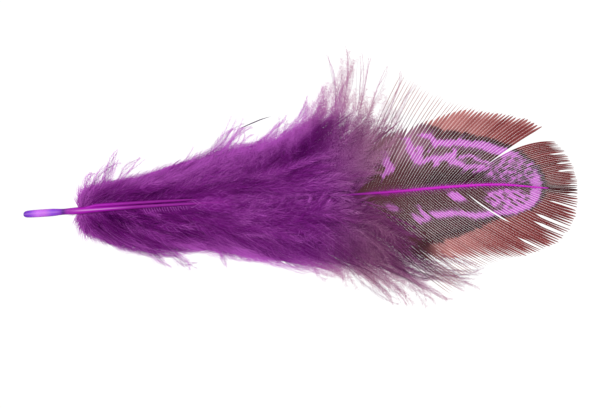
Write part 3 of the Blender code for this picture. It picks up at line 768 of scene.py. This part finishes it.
def vane_values(points, values):
    """Float attributes of the vane's points."""
    ink = values[:, :2]
    x, y, tone, share, ramus = values.T
    height = y - value_at(SHAFT_Y, x)
    off_shaft = np.abs(height)
    edge = side_distance(ink, RUST_EDGE)
    grey_corner = (1 - smooth(16.5, 20.5, x)) * (y < 0)
    rust = smooth(-0.10, 0.12, edge) * (1 - grey_corner)
    thin_corner = (1 - smooth(15.0, 24.0, x)) * smooth(2.0, 8.0, y)
    rim = (1 - rust) * smooth(-1.4, -0.6, edge) * (1 - thin_corner)
    deep = (0.05 + 0.45 * smooth(20.0, 30.0, x) + 0.18 * smooth(30.0, 35.0, x)
            + 0.06 * tone + 0.10 * ramus - 0.35 * smooth(0.85, 1.0, share))
    line = 1 - smooth(0.25, 0.75, off_shaft)
    deep = deep + 0.6 * line * smooth(33.4, 34.2, x)
    dye = (1 - smooth(0.12, 0.42, off_shaft)) * smooth(8.0, 12.0, x) * (1 - smooth(24.0, 33.0, x))
    dark_middle = smooth(14.0, 19.0, x) * smooth(-0.3, 0.2, height) * (1 - smooth(1.6, 3.2, height))
    brown = 0.48 + 0.04 * tone - 0.05 * ramus - 0.3 * rim - 0.36 * dark_middle + 0.3 * thin_corner
    mark = orchid_amount(ink) * between((0.75, 1.0), smooth(13.0, 19.0, x))
    return {"rust": rust, "deep": np.clip(deep, 0, 1), "brown": np.clip(brown, 0, 1),
            "mark": mark, "dye": 0.6 * dye}


def make_coat_barbs(rng, side, count, roots, margin, bends, reach, arches, tip_heights, clumps,
                    root_point=shaft_point, wander=0.25, spread=0.3, ragged=0.07, shares=(0.0, 1.0)):
    """Barbs of a coat of down from the shaft to the margin, their tips drawn together in clumps."""
    share = between(shares, jittered_shares(rng, count))
    clump = (np.floor(share * clumps + rng.normal(0.0, 0.25, count)) + 0.5) / clumps
    number = np.clip(clump * clumps, 0, clumps + 2).astype(int)
    clump_reach, clump_tone = rng.uniform(-1.0, 1.0, (2, clumps + 3))[:, number]
    clump_height = rng.uniform(0.0, 1.0, clumps + 3)[number]
    scatter = (rng.normal(0, 0.15, count), np.zeros(count), rng.uniform(-0.3, 0.0, count))
    starts = root_point(value_at(roots, share)) + np.column_stack(scatter)
    tip_share = np.clip(share * 0.45 + clump * 0.55, 0.0, 1.0)
    ends = point_along(margin, tip_share)
    fraction = between(reach, rng.uniform(0.0, 1.0, count)**0.7) * (1 + ragged * clump_reach)
    ends = starts[:, :2] + (ends - starts[:, :2]) * fraction[:, None] + rng.normal(0.0, spread, (count, 2))
    height = between(tip_heights, np.clip(0.6 * clump_height + 0.4 * rng.uniform(0.0, 1.0, count), 0, 1))
    tips = np.column_stack((ends, height))
    chord = tips - starts
    across = level_turn(chord) * side
    bend = value_at(bends, share) + rng.normal(0.0, 0.035, count)
    arch = between(arches, rng.uniform(0.0, 1.0, count))
    middles = starts + chord / 2 + across * bend[:, None] + UP * (2 * arch)[:, None]
    barbs = Barbs(starts, middles, tips, wander, rng)
    barbs.tone = 0.8 * barbs.tone + 1.2 * clump_tone
    return barbs


def add_rami(piece, barbs, radius, shine):
    """The barbs themselves as fine tubes."""
    which, share = every_station(barbs, 9)
    values = np.dstack((barbs.tone[which], share, np.full_like(share, shine)))
    add_tubes(piece, barbs.at(which, share), between((radius, radius * 0.3), share), values)


def add_ribbons(piece, barbs, width):
    """Broad soft ribbons along the barbs, for the thick fluff underneath."""
    which, share = every_station(barbs, 10)
    across = quarter_turn(barbs.heading(which, share))
    values = np.column_stack((barbs.tone, np.full(barbs.count, 0.5), np.zeros(barbs.count)))
    add_strips(piece, barbs.at(which, share), across, width * (1 - 0.8 * share**3), values)


def add_down(piece, barbs, rng, spacing, length, width, ramus, fade=(0.7, 1.0), angles=(34.0, 10.0)):
    """Barbs of down with their long fine barbules."""
    add_rami(piece, barbs, ramus, BARB_PAINTED_SHINE)
    which, share, side = every_barbule(barbs, spacing, rng)
    base = barbs.at(which, share)
    ahead = barbs.heading(which, share)
    left = quarter_turn(ahead)
    over = np.cross(ahead, left)
    roll = rng.normal(0.0, 0.55, len(which))
    out = left * (np.cos(roll) * side)[:, None] + over * np.sin(roll)[:, None]
    size = length * rng.uniform(0.6, 1.15, len(which)) * smooth(-0.10, 0.22, share)
    size = size * (1 - 0.6 * smooth(*fade, share))
    first = np.radians(angles[0] * rng.uniform(0.6, 1.3, len(which)))
    second = np.radians(angles[1] * rng.uniform(-0.2, 1.8, len(which)))
    go = ahead * np.cos(first)[:, None] + out * np.sin(first)[:, None]
    on = ahead * np.cos(second)[:, None] + out * np.sin(second)[:, None]
    middle = base + go * (0.45 * size)[:, None]
    end = middle + on * (0.55 * size)[:, None]
    paths = np.stack((base, middle, end), axis=1)
    tilt = rng.uniform(-0.9, 0.9, len(which))
    level = quarter_turn(go)
    across = level * np.cos(tilt)[:, None] + np.cross(go, level) * np.sin(tilt)[:, None]
    widths = np.array((1.0, 0.85, 0.0)) * width
    wave = np.sin(2 * np.pi * (barbs.lengths[which] * share / 7.0) + 3 * barbs.phase[which])
    tone = barbs.tone[which] + 0.6 * wave + rng.normal(0.0, 0.7, len(which))
    values = np.column_stack((tone, share, np.zeros(len(which))))
    add_strips(piece, paths, across[:, None].repeat(3, axis=1), widths[None], values)


def edge_glow(points):
    """1 at the margins of the down and beyond, where light comes through it, and 0 well inside."""
    x, y, _ = points.T
    above = y - value_at(UPPER_DOWN_MARGIN, x)
    below = value_at(LOWER_DOWN_MARGIN, x) - y
    behind = DOWN_START_X - x
    return smooth(-1.7, 0.9, np.maximum(np.maximum(above, below), behind))


def down_values(points, values):
    """Float attributes of the down's points."""
    tone, share, shine = values.T
    x, y, _ = points.T
    off_shaft = np.abs(y - value_at(SHAFT_Y, x))
    core = (1 - smooth(0.8, 3.6, off_shaft)) * smooth(-29.0, -26.0, x) * (1 - smooth(-20.0, -10.0, x))
    # Painted shade of a fold, darker along the fold line
    fold_shade = 1 - smooth(-0.4, 1.1, stroke_distance(points[:, :2], FOLD_SHADE))
    thin = smooth(2.0, 7.0, x) * smooth(1.0, 3.0, y)
    glow = edge_glow(points)
    # Lighter for random tone and for bare barbs (a painted highlight on the down's barbs), lighter at the tips
    # and margins as painted light coming through thin down, and darker along the fold as painted shade
    light = (0.41 + 0.15 * tone + 0.14 * shine + 0.14 * smooth(0.70, 1.0, share) + 0.40 * glow
             + 0.12 * smooth(-14.0, -3.0, x) + 0.10 * (1 - smooth(-30.5, -26.5, x)) + 0.26 * thin
             - 0.12 * core - 0.14 * fold_shade)
    mauve = 0.9 * smooth(2.0, 13.0, x + 0.25 * off_shaft)
    # Paler tips at the margins: painted light coming through the thin down
    pale = smooth(0.6, 1.0, share) * smooth(-4.0, 6.0, x) * glow
    return {"light": np.clip(light, 0, 1), "mauve": mauve, "pale": 0.5 * pale}


def down_ceiling(points):
    """Greatest height of the down at each point, which keeps it off the two shafts where they lie bare."""
    x, y, _ = points.T
    spread = np.clip((x - SECOND_SHAFT_START_X) / SECOND_SHAFT_SPREAD, 0.0, 1.0)
    off_shaft = y - value_at(SHAFT_Y, x)
    from_main = np.abs(off_shaft) - value_at(SHAFT_RADIUS, x)
    from_second = np.abs(off_shaft - SECOND_SHAFT_OFFSET * spread) - value_at(SECOND_SHAFT_RADIUS, x)
    away = np.minimum(from_main, from_second)
    rise = 0.30 * smooth(*HALF_COVERED_FROM, x) + 5.0 * smooth(*COVERED_FROM, x)
    return value_at(SHAFT_Z, x) - 0.15 + 1.7 * smooth(-0.05, 1.8, away) + rise


def link(tree, source, target):
    """Join two sockets."""
    tree.links.new(source, target)


def read_value(tree, name):
    """Socket that reads a float attribute."""
    node = tree.nodes.new("ShaderNodeAttribute")
    node.attribute_name = name
    return node.outputs["Fac"]


def ramp(tree, source, stops):
    """Colours along a value, as (position, colour) stops."""
    node = tree.nodes.new("ShaderNodeValToRGB")
    elements = node.color_ramp.elements
    while len(elements) < len(stops):
        elements.new(0.5)
    for element, (position, colour) in zip(elements, stops):
        element.position = position
        element.color = (*colour, 1.0)
    link(tree, source, node.inputs["Fac"])
    return node.outputs["Color"]


def mixed(tree, name, first, second):
    """Mix of two colours by a float attribute. A colour is a socket or a plain tuple."""
    node = tree.nodes.new("ShaderNodeMix")
    node.data_type = "RGBA"
    link(tree, read_value(tree, name), node.inputs["Factor"])
    for place, colour in (("A", first), ("B", second)):
        socket = next(s for s in node.inputs if s.name == place and s.type == "RGBA")
        if isinstance(colour, tuple):
            socket.default_value = (*colour, 1.0)
        else:
            link(tree, colour, socket)
    return next(s for s in node.outputs if s.type == "RGBA")


def new_material(name, roughness, specular):
    """Material with its Principled shader, and its node tree."""
    material = bpy.data.materials.new(name)
    material.use_nodes = True
    tree = material.node_tree
    shader = tree.nodes["Principled BSDF"]
    shader.inputs["Roughness"].default_value = roughness
    shader.inputs["Specular IOR Level"].default_value = specular
    return material, tree, shader


def make_down_material():
    """Fine dyed fibres: purple, turning mauve towards the vane, with the tips and margins paler as painted
    light through thin down, bare barbs lighter as painted highlights and a fold darker as painted shade.
    """
    material, tree, shader = new_material("down_fibres", 0.85, 0.0)
    light = read_value(tree, "light")
    purple = ramp(tree, light, ((0.0, DEEP_PURPLE), (0.5, MID_PURPLE), (1.0, BRIGHT_PURPLE)))
    mauve = ramp(tree, light, ((0.0, DEEP_MAUVE), (0.5, MID_MAUVE), (1.0, PALE_MAUVE)))
    colour = mixed(tree, "mauve", purple, mauve)
    colour = mixed(tree, "pale", colour, PALE_TIP)
    link(tree, colour, shader.inputs["Base Color"])
    return material


def make_vane_material():
    """Barbs in grey-brown and rust with the pale orchid pattern on them."""
    material, tree, shader = new_material("vane_barbs", 0.75, 0.05)
    brown = ramp(tree, read_value(tree, "brown"), ((0.0, DARK_BROWN), (0.6, GREY_BROWN), (1.0, PALE_MAUVE)))
    rust = ramp(tree, read_value(tree, "deep"), ((0.0, PALE_RUST), (0.5, MID_RUST), (1.0, DARK_RUST)))
    colour = mixed(tree, "rust", brown, rust)
    colour = mixed(tree, "mark", colour, ORCHID)
    colour = mixed(tree, "dye", colour, MAGENTA)
    link(tree, colour, shader.inputs["Base Color"])
    return material


def make_quill_material():
    """Dyed keratin: violet and pale pink by turns on the bare quill, the pale pink being painted light through
    the hollow quill, magenta along the shaft, with painted shade on the sides and underside and a painted
    highlight along the top.
    """
    material, tree, shader = new_material("quill_keratin", 0.32, 0.12)
    shader.inputs["Coat Weight"].default_value = 0.04
    shader.inputs["Coat Roughness"].default_value = 0.15
    body = ramp(tree, read_value(tree, "along"), QUILL_STOPS)
    body = mixed(tree, "flank", body, QUILL_PAINTED_SHADE)
    body = mixed(tree, "ridge", body, QUILL_PAINTED_HIGHLIGHT)
    body = mixed(tree, "on_vane", body, MAGENTA)
    body = mixed(tree, "dark_end", body, DARK_TIP)
    link(tree, body, shader.inputs["Base Color"])
    return material


def add_shaft(piece, centre, radius_table, ends, step, sides, groove_depth):
    """Closed skin of a shaft between two x values, with a shallow groove along its top."""
    start, end = ends
    rows = np.linspace(start, end, max(int((end - start) / step), 3))
    rows = np.unique(np.concatenate((rows, [x for x, _ in radius_table if start <= x <= end])))
    centres = centre(rows)
    radii = value_at(radius_table, rows)
    angles = 2 * np.pi * np.arange(sides) / sides
    groove = 1 - groove_depth * np.exp(-((angles - np.pi / 2) / 0.35)**2)
    lie = np.stack((np.zeros(sides), np.cos(angles) * groove, np.sin(angles) * groove), axis=-1)
    rings = centres[:, None] + radii[:, None, None] * lie[None]
    count = len(rows)
    points = np.concatenate((rings.reshape(-1, 3), centres[:1], centres[-1:]))
    faces = tube_triangles(count, sides)
    first = count * sides
    last = (count - 1) * sides
    for k in range(sides):
        faces.append((first, (k + 1) % sides, k))
        faces.append((first + 1, last + k, last + (k + 1) % sides))
    height = np.concatenate((np.tile(np.sin(angles), count), (0.0, 0.0)))
    second = np.full(len(points), float(groove_depth == 0))
    values = np.column_stack((height, second))
    piece.add(points[None], np.array(faces), values[None])


def shaft_values(points, values):
    """Float attributes of the shafts' points."""
    height, second = values.T
    x = points[:, 0]
    along = np.clip((x - QUILL_END_X) / QUILL_RAMP_LENGTH, 0, 1)
    on_quill = 1 - smooth(-30.0, -26.0, x)
    # Painted shade on the sides and underside of the shafts, strongest on the quill, and a painted highlight
    # along the top of the main shaft near the quill, both set by the angle around each ring
    flank = (1 - smooth(0.25, 0.75, height)) * (0.15 + 0.4 * on_quill)
    highlight_band = smooth(-32.0, -29.5, x) * (1 - smooth(-27.5, -22.5, x)) * (1 - second)
    ridge = smooth(0.95, 1.0, height) * (0.7 * highlight_band + 0.3 * (1 - smooth(-33.5, -32.8, x)))
    return {"along": along, "flank": flank, "ridge": ridge, "on_vane": smooth(4.0, 22.0, x),
            "dark_end": smooth(33.6, 34.2, x)}


def make_shafts(material):
    """The quill with its shaft out to the tip, and the afterfeather's shaft."""
    piece = Piece()
    add_shaft(piece, shaft_point, SHAFT_RADIUS, (QUILL_END_X, SHAFT_TIP_X), 0.25, 20, 0.10)
    add_shaft(piece, second_shaft_point, SECOND_SHAFT_RADIUS, (SECOND_SHAFT_START_X, SECOND_SHAFT_END_X),
              0.3, 12, 0.0)
    return piece.build("shafts", shaft_values, material)


def make_middle_barbs(rng, count, root_point, roots, ends, swing):
    """Barbs that lie along the shaft and over it, between two x values for their roots and their tips."""
    share = jittered_shares(rng, count)
    starts = root_point(between(roots, share))
    tip_x = between(ends, share) + rng.normal(0.0, 1.2, count)
    aside = rng.normal(0.0, 1.0, count)
    tip_y = value_at(SHAFT_Y, tip_x) + swing * aside
    tip_z = value_at(MIDDLE_HEIGHTS, tip_x) + rng.uniform(-0.3, 0.5, count)
    tips = np.column_stack((tip_x, tip_y, tip_z))
    chord = tips - starts
    bend = 0.12 * np.sign(aside) + rng.normal(0.0, 0.10, count)
    rise = UP * rng.uniform(0.8, 1.8, count)[:, None]
    middles = starts + chord / 2 + level_turn(chord) * bend[:, None] + rise
    return Barbs(starts, middles, tips, 0.5, rng)


def make_routed_barbs(rng, routes, copies, scatter, heights, wander):
    """Barbs along routes of three (x, y) points, each route grown a few times with a little scatter."""
    flat = np.array(routes, dtype=float).repeat(copies, axis=0)
    flat[:, 1:] += rng.normal(0.0, scatter, flat[:, 1:].shape)
    high = rng.uniform(*heights, len(flat))
    lifts = enumerate((0.7, 1.1, 1.0))
    starts, through, tips = (np.column_stack((flat[:, k], lift * high)) for k, lift in lifts)
    middles = 2 * through - (starts + tips) / 2
    return Barbs(starts, middles, tips, wander, rng)


def make_curled_barbs(rng, count):
    """Barbs below the shaft that sweep along it and then curl back up to it."""
    share = jittered_shares(rng, count)
    starts = shaft_point(between((-20.0, -9.0), share))
    tips = np.column_stack((between((-7.0, 4.5), share),
                            rng.normal(-0.2, 0.7, count), rng.uniform(2.0, 3.0, count)))
    middles = np.column_stack((between((-9.0, 2.0), share),
                               rng.normal(-5.4, 0.8, count), rng.uniform(2.2, 3.6, count)))
    return Barbs(starts, middles, tips, 0.3, rng)


def make_coat(name, side, lie, bed, crest_from, material):
    """The down on one side of the shaft: two coats with a fluffier crest, single barbs over them, ribbons and
    a sheet under them, and loose fluff. Its barbs lie by their (roots, margin, bends)."""
    rng = np.random.default_rng(SEEDS[name])
    piece = Piece()
    body = (0.0, crest_from)
    low = make_coat_barbs(rng, side, round(LOW_COUNT * crest_from), *lie, *LOW_COAT, shares=body)
    add_down(piece, low, rng, *LOW_BARBULES)
    high = make_coat_barbs(rng, side, round(HIGH_COUNT * crest_from), *lie, *HIGH_COAT, shares=body)
    add_down(piece, high, rng, *HIGH_BARBULES)
    crest = make_coat_barbs(rng, side, round(CREST_COUNT * (1 - crest_from)), *lie, *CREST,
                            wander=0.7, spread=0.7, ragged=0.12, shares=(crest_from - 0.05, 1.0))
    add_down(piece, crest, rng, *CREST_BARBULES, angles=(50.0, 34.0))
    single = make_coat_barbs(rng, side, SINGLE_COUNT, *lie, *SINGLE_COAT)
    add_rami(piece, single, SINGLE_RADIUS, SINGLE_PAINTED_SHINE)
    under = make_coat_barbs(rng, side, UNDER_COUNT, *lie, *UNDER_COAT)
    add_ribbons(piece, under, UNDER_RIBBON)
    loose = make_coat_barbs(rng, side, LOOSE_COUNT, *lie, *LOOSE_COAT,
                            wander=0.4, spread=0.25, shares=(0.03, 0.80))
    add_down(piece, loose, rng, *LOOSE_BARBULES, fade=(0.6, 0.95))
    add_bed(piece, bed)
    return piece.build(name, down_values, material, down_ceiling)


def make_afterfeather(material):
    """The down that covers the shaft: barbs of the second shaft, and those between it and the vane."""
    rng = np.random.default_rng(SEEDS["afterfeather"])
    piece = Piece()
    for count, root_point, roots, ends, swing in (
            (50, second_shaft_point, (-20.0, -14.2), (-9.0, 8.0), 1.5),
            (40, shaft_point, (-13.0, 0.0), (-3.0, 10.0), 1.9)):
        middle = make_middle_barbs(rng, count, root_point, roots, ends, swing)
        add_down(piece, middle, rng, *AFTER_BARBULES)
    for side, margin in ((1, UPPER_AFTER_MARGIN), (-1, LOWER_AFTER_MARGIN)):
        after = make_coat_barbs(rng, side, AFTER_COUNT, AFTER_ROOTS, margin, AFTER_BENDS, *AFTER_COAT,
                                spread=0.6)
        add_down(piece, after, rng, *AFTER_BARBULES)
    add_down(piece, make_curled_barbs(rng, CURLED_COUNT), rng, *CURLED_BARBULES)
    return piece.build("afterfeather", down_values, material, down_ceiling)


def make_fringe(side, tufts, bridge, wisps, seed):
    """Loose barbs beyond the down, thin fluff where down and vane meet, and single wisps."""
    rng = np.random.default_rng(seed)
    piece = Piece()
    count, *lie = tufts
    barbs = make_coat_barbs(rng, side, count, *lie, *TUFT_COAT, wander=1.1, spread=0.8, ragged=0.14)
    add_down(piece, barbs, rng, *TUFT_BARBULES, fade=(0.5, 0.9), angles=(58.0, 50.0))
    count, *lie, ribbon = bridge
    barbs = make_coat_barbs(rng, side, count, *lie, *BRIDGE_COAT, wander=0.5, spread=0.7)
    add_down(piece, barbs, rng, *BRIDGE_BARBULES, fade=(0.4, 0.9), angles=(48.0, 30.0))
    add_ribbons(piece, barbs, ribbon)
    for routes, copies, scatter, length in wisps:
        loose = make_routed_barbs(rng, routes, copies, scatter, (0.8, 2.4), 0.25)
        loose.tone = 1.5 * loose.tone + 0.8
        add_down(piece, loose, rng, WISP_SPACING, length, WISP_WIDTH, WISP_WIDTH,
                 fade=(0.5, 0.85), angles=(30.0, 16.0))
    strands = make_routed_barbs(rng, wisps[0][0], 1 if side > 0 else 3, 0.5, (1.0, 2.6), 0.2)
    add_rami(piece, strands, STRAND_RADIUS, STRAND_SHINE)
    return piece


def add_bed(piece, edge):
    """Thin sheet under the down from the shaft out to the edge, which keeps it from being seen through."""
    columns = 60
    rows = 8
    x = np.linspace(edge[0][0], edge[-1][0], columns)
    middle = value_at(SHAFT_Y, x)
    out = value_at(edge, x) - middle
    share = np.linspace(-0.1, 1.0, rows)
    y = middle[:, None] + out[:, None] * share[None]
    z = BED_HEIGHT * (1 - 0.6 * share**2)[None] + 0 * y
    points = np.dstack((x[:, None] + 0 * y, y, z)).reshape(1, -1, 3)
    faces = []
    for c in range(columns - 1):
        for r in range(rows - 1):
            a = c * rows + r
            faces += [(a, a + rows, a + rows + 1), (a, a + rows + 1, a + 1)]
    values = np.zeros((1, points.shape[1], 3))
    piece.add(points, np.array(faces), values)


def add_loose_fibre(piece):
    """The dark curved fibre above the down, held to it by a much thinner first part."""
    share = np.linspace(0.0, 1.0, 24)[None]
    flat = point_along(LOOSE_FIBRE, share)
    path = np.dstack((flat, 1.2 + 0.9 * share))
    values = np.dstack((np.full_like(share, LOOSE_FIBRE_TONE), 0 * share, 0 * share))
    add_tubes(piece, path, value_at(LOOSE_FIBRE_RADIUS, share), values, sides=4)


def make_pale_fibres(material):
    """The short pale fibres that cross the shaft and stand in a row below it."""
    rng = np.random.default_rng(SEEDS["pale_fibres"])
    piece = Piece()
    routes = [*CROSSING_FIBRES]
    for x in np.linspace(*FIBRE_ROW_X, FIBRE_ROW_COUNT):
        y = value_at(SHAFT_Y, x) - FIBRE_ROW_ASIDE
        reach_x, reach_y = np.array(FIBRE_ROW_REACH) * rng.uniform(0.7, 1.1)
        routes.append(((x, y), (x + 0.35 * reach_x, y + 0.5 * reach_y), (x + reach_x, y + reach_y)))
    fibres = make_routed_barbs(rng, routes, 1, 0.03, (1.0, 1.0), 0.0)
    for points, rise in zip((fibres.roots, fibres.middles, fibres.tips), FIBRE_HEIGHTS):
        points[:, 2] = value_at(SHAFT_Z, points[:, 0]) + rise
    add_rami(piece, fibres, PALE_FIBRE_RADIUS, PALE_FIBRE_SHINE)
    return piece.build("pale_fibres", down_values, material)


def make_down_pieces(material):
    """The coats of down either side, the afterfeather over the shaft, and the loose fringes."""
    upper = make_fringe(1, UPPER_TUFTS, UPPER_BRIDGE, UPPER_LOOSE, SEEDS["fringe_upper"])
    add_loose_fibre(upper)
    lower = make_fringe(-1, LOWER_TUFTS, LOWER_BRIDGE, LOWER_LOOSE, SEEDS["fringe_lower"])
    upper_lie = (UPPER_ROOTS, UPPER_DOWN_MARGIN, UPPER_BENDS)
    lower_lie = (LOWER_ROOTS, LOWER_DOWN_MARGIN, LOWER_DOWN_BENDS)
    return [make_coat("down_upper", 1, upper_lie, UPPER_BED, UPPER_CREST_FROM, material),
            make_coat("down_lower", -1, lower_lie, LOWER_BED, LOWER_CREST_FROM, material),
            make_afterfeather(material),
            make_pale_fibres(material),
            upper.build("fringe_upper", down_values, material, down_ceiling),
            lower.build("fringe_lower", down_values, material, down_ceiling)]


def make_vane_pieces(material):
    """The two sides of the vane: the split near the tip parts the upper side."""
    upper = ((UPPER_REAR_RIM, (VANE_REAR_ROOT_X, SPLIT_ROOT_X), UPPER_REAR_BENDS, 0.0, 0.06,
              UPPER_REAR_SLITS, (0.4, 1.5)),
             (UPPER_FRONT_RIM, (SPLIT_ROOT_X, VANE_FRONT_ROOT_X), UPPER_FRONT_BENDS, FRONT_LEAN, 0.03,
              UPPER_FRONT_SLITS, (0.6, 2.4)))
    lower = ((LOWER_RIM, (VANE_REAR_ROOT_X, LOWER_FRONT_ROOT_X), LOWER_BENDS, 0.0, 0.08,
              LOWER_SLITS, (0.7, 3.4)),)
    return [grow_vane("vane_upper", 1, UPPER_BARB_SPACING, 0.0, upper, UPPER_WEB_REACH, material),
            grow_vane("vane_lower", -1, LOWER_BARB_SPACING, LOWER_ROOT_CROWDING, lower, LOWER_WEB_REACH,
                      material)]


def make_stage():
    """White glowing surface under the feather, soft light and the camera straight above."""
    mesh = bpy.data.meshes.new("floor")
    half = FLOOR_HALF
    corners = [(-half, -half, 0), (half, -half, 0), (half, half, 0), (-half, half, 0)]
    mesh.from_pydata(corners, [], [(0, 1, 2, 3)])
    floor = place("floor", mesh)
    material = bpy.data.materials.new("floor_glow")
    material.use_nodes = True
    tree = material.node_tree
    tree.nodes.clear()
    glow = tree.nodes.new("ShaderNodeEmission")
    glow.inputs["Color"].default_value = (*STAGE_WHITE, 1.0)
    glow.inputs["Strength"].default_value = FLOOR_GLOW
    out = tree.nodes.new("ShaderNodeOutputMaterial")
    link(tree, glow.outputs["Emission"], out.inputs["Surface"])
    mesh.materials.append(material)

    world = bpy.data.worlds.new("studio")
    world.use_nodes = True
    backdrop = world.node_tree.nodes["Background"]
    backdrop.inputs["Color"].default_value = (*STAGE_WHITE, 1.0)
    backdrop.inputs["Strength"].default_value = WORLD_GLOW
    bpy.context.scene.world = world

    lamp = bpy.data.lights.new("soft_box", "AREA")
    lamp.shape = "RECTANGLE"
    lamp.size, lamp.size_y = LAMP_SIZE
    lamp.energy = LAMP_POWER
    light = place("soft_box", lamp)
    light.location = LAMP_PLACE
    light.rotation_euler = (math.radians(LAMP_TILT[0]), math.radians(LAMP_TILT[1]), 0)

    lens = bpy.data.cameras.new("camera")
    lens.lens = CAMERA_LENS
    lens.sensor_width = SENSOR_WIDTH
    lens.clip_start = CLIP_START
    lens.clip_end = CLIP_END
    camera = place("camera", lens)
    height = PICTURE_WIDTH * CAMERA_LENS / SENSOR_WIDTH + FOCUS_HEIGHT
    camera.location = (PICTURE_CENTRE[0] * MM, PICTURE_CENTRE[1] * MM, height * MM)
    bpy.context.scene.camera = camera
    bpy.context.scene.view_settings.view_transform = "Standard"


def main():
    make_stage()
    pieces = [(make_shafts(make_quill_material()), "quill")]
    pieces += [(item, "vane") for item in make_vane_pieces(make_vane_material())]
    pieces += [(item, "down") for item in make_down_pieces(make_down_material())]
    for item, slot in pieces:
        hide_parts("feather")
        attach(item, "root")


main()
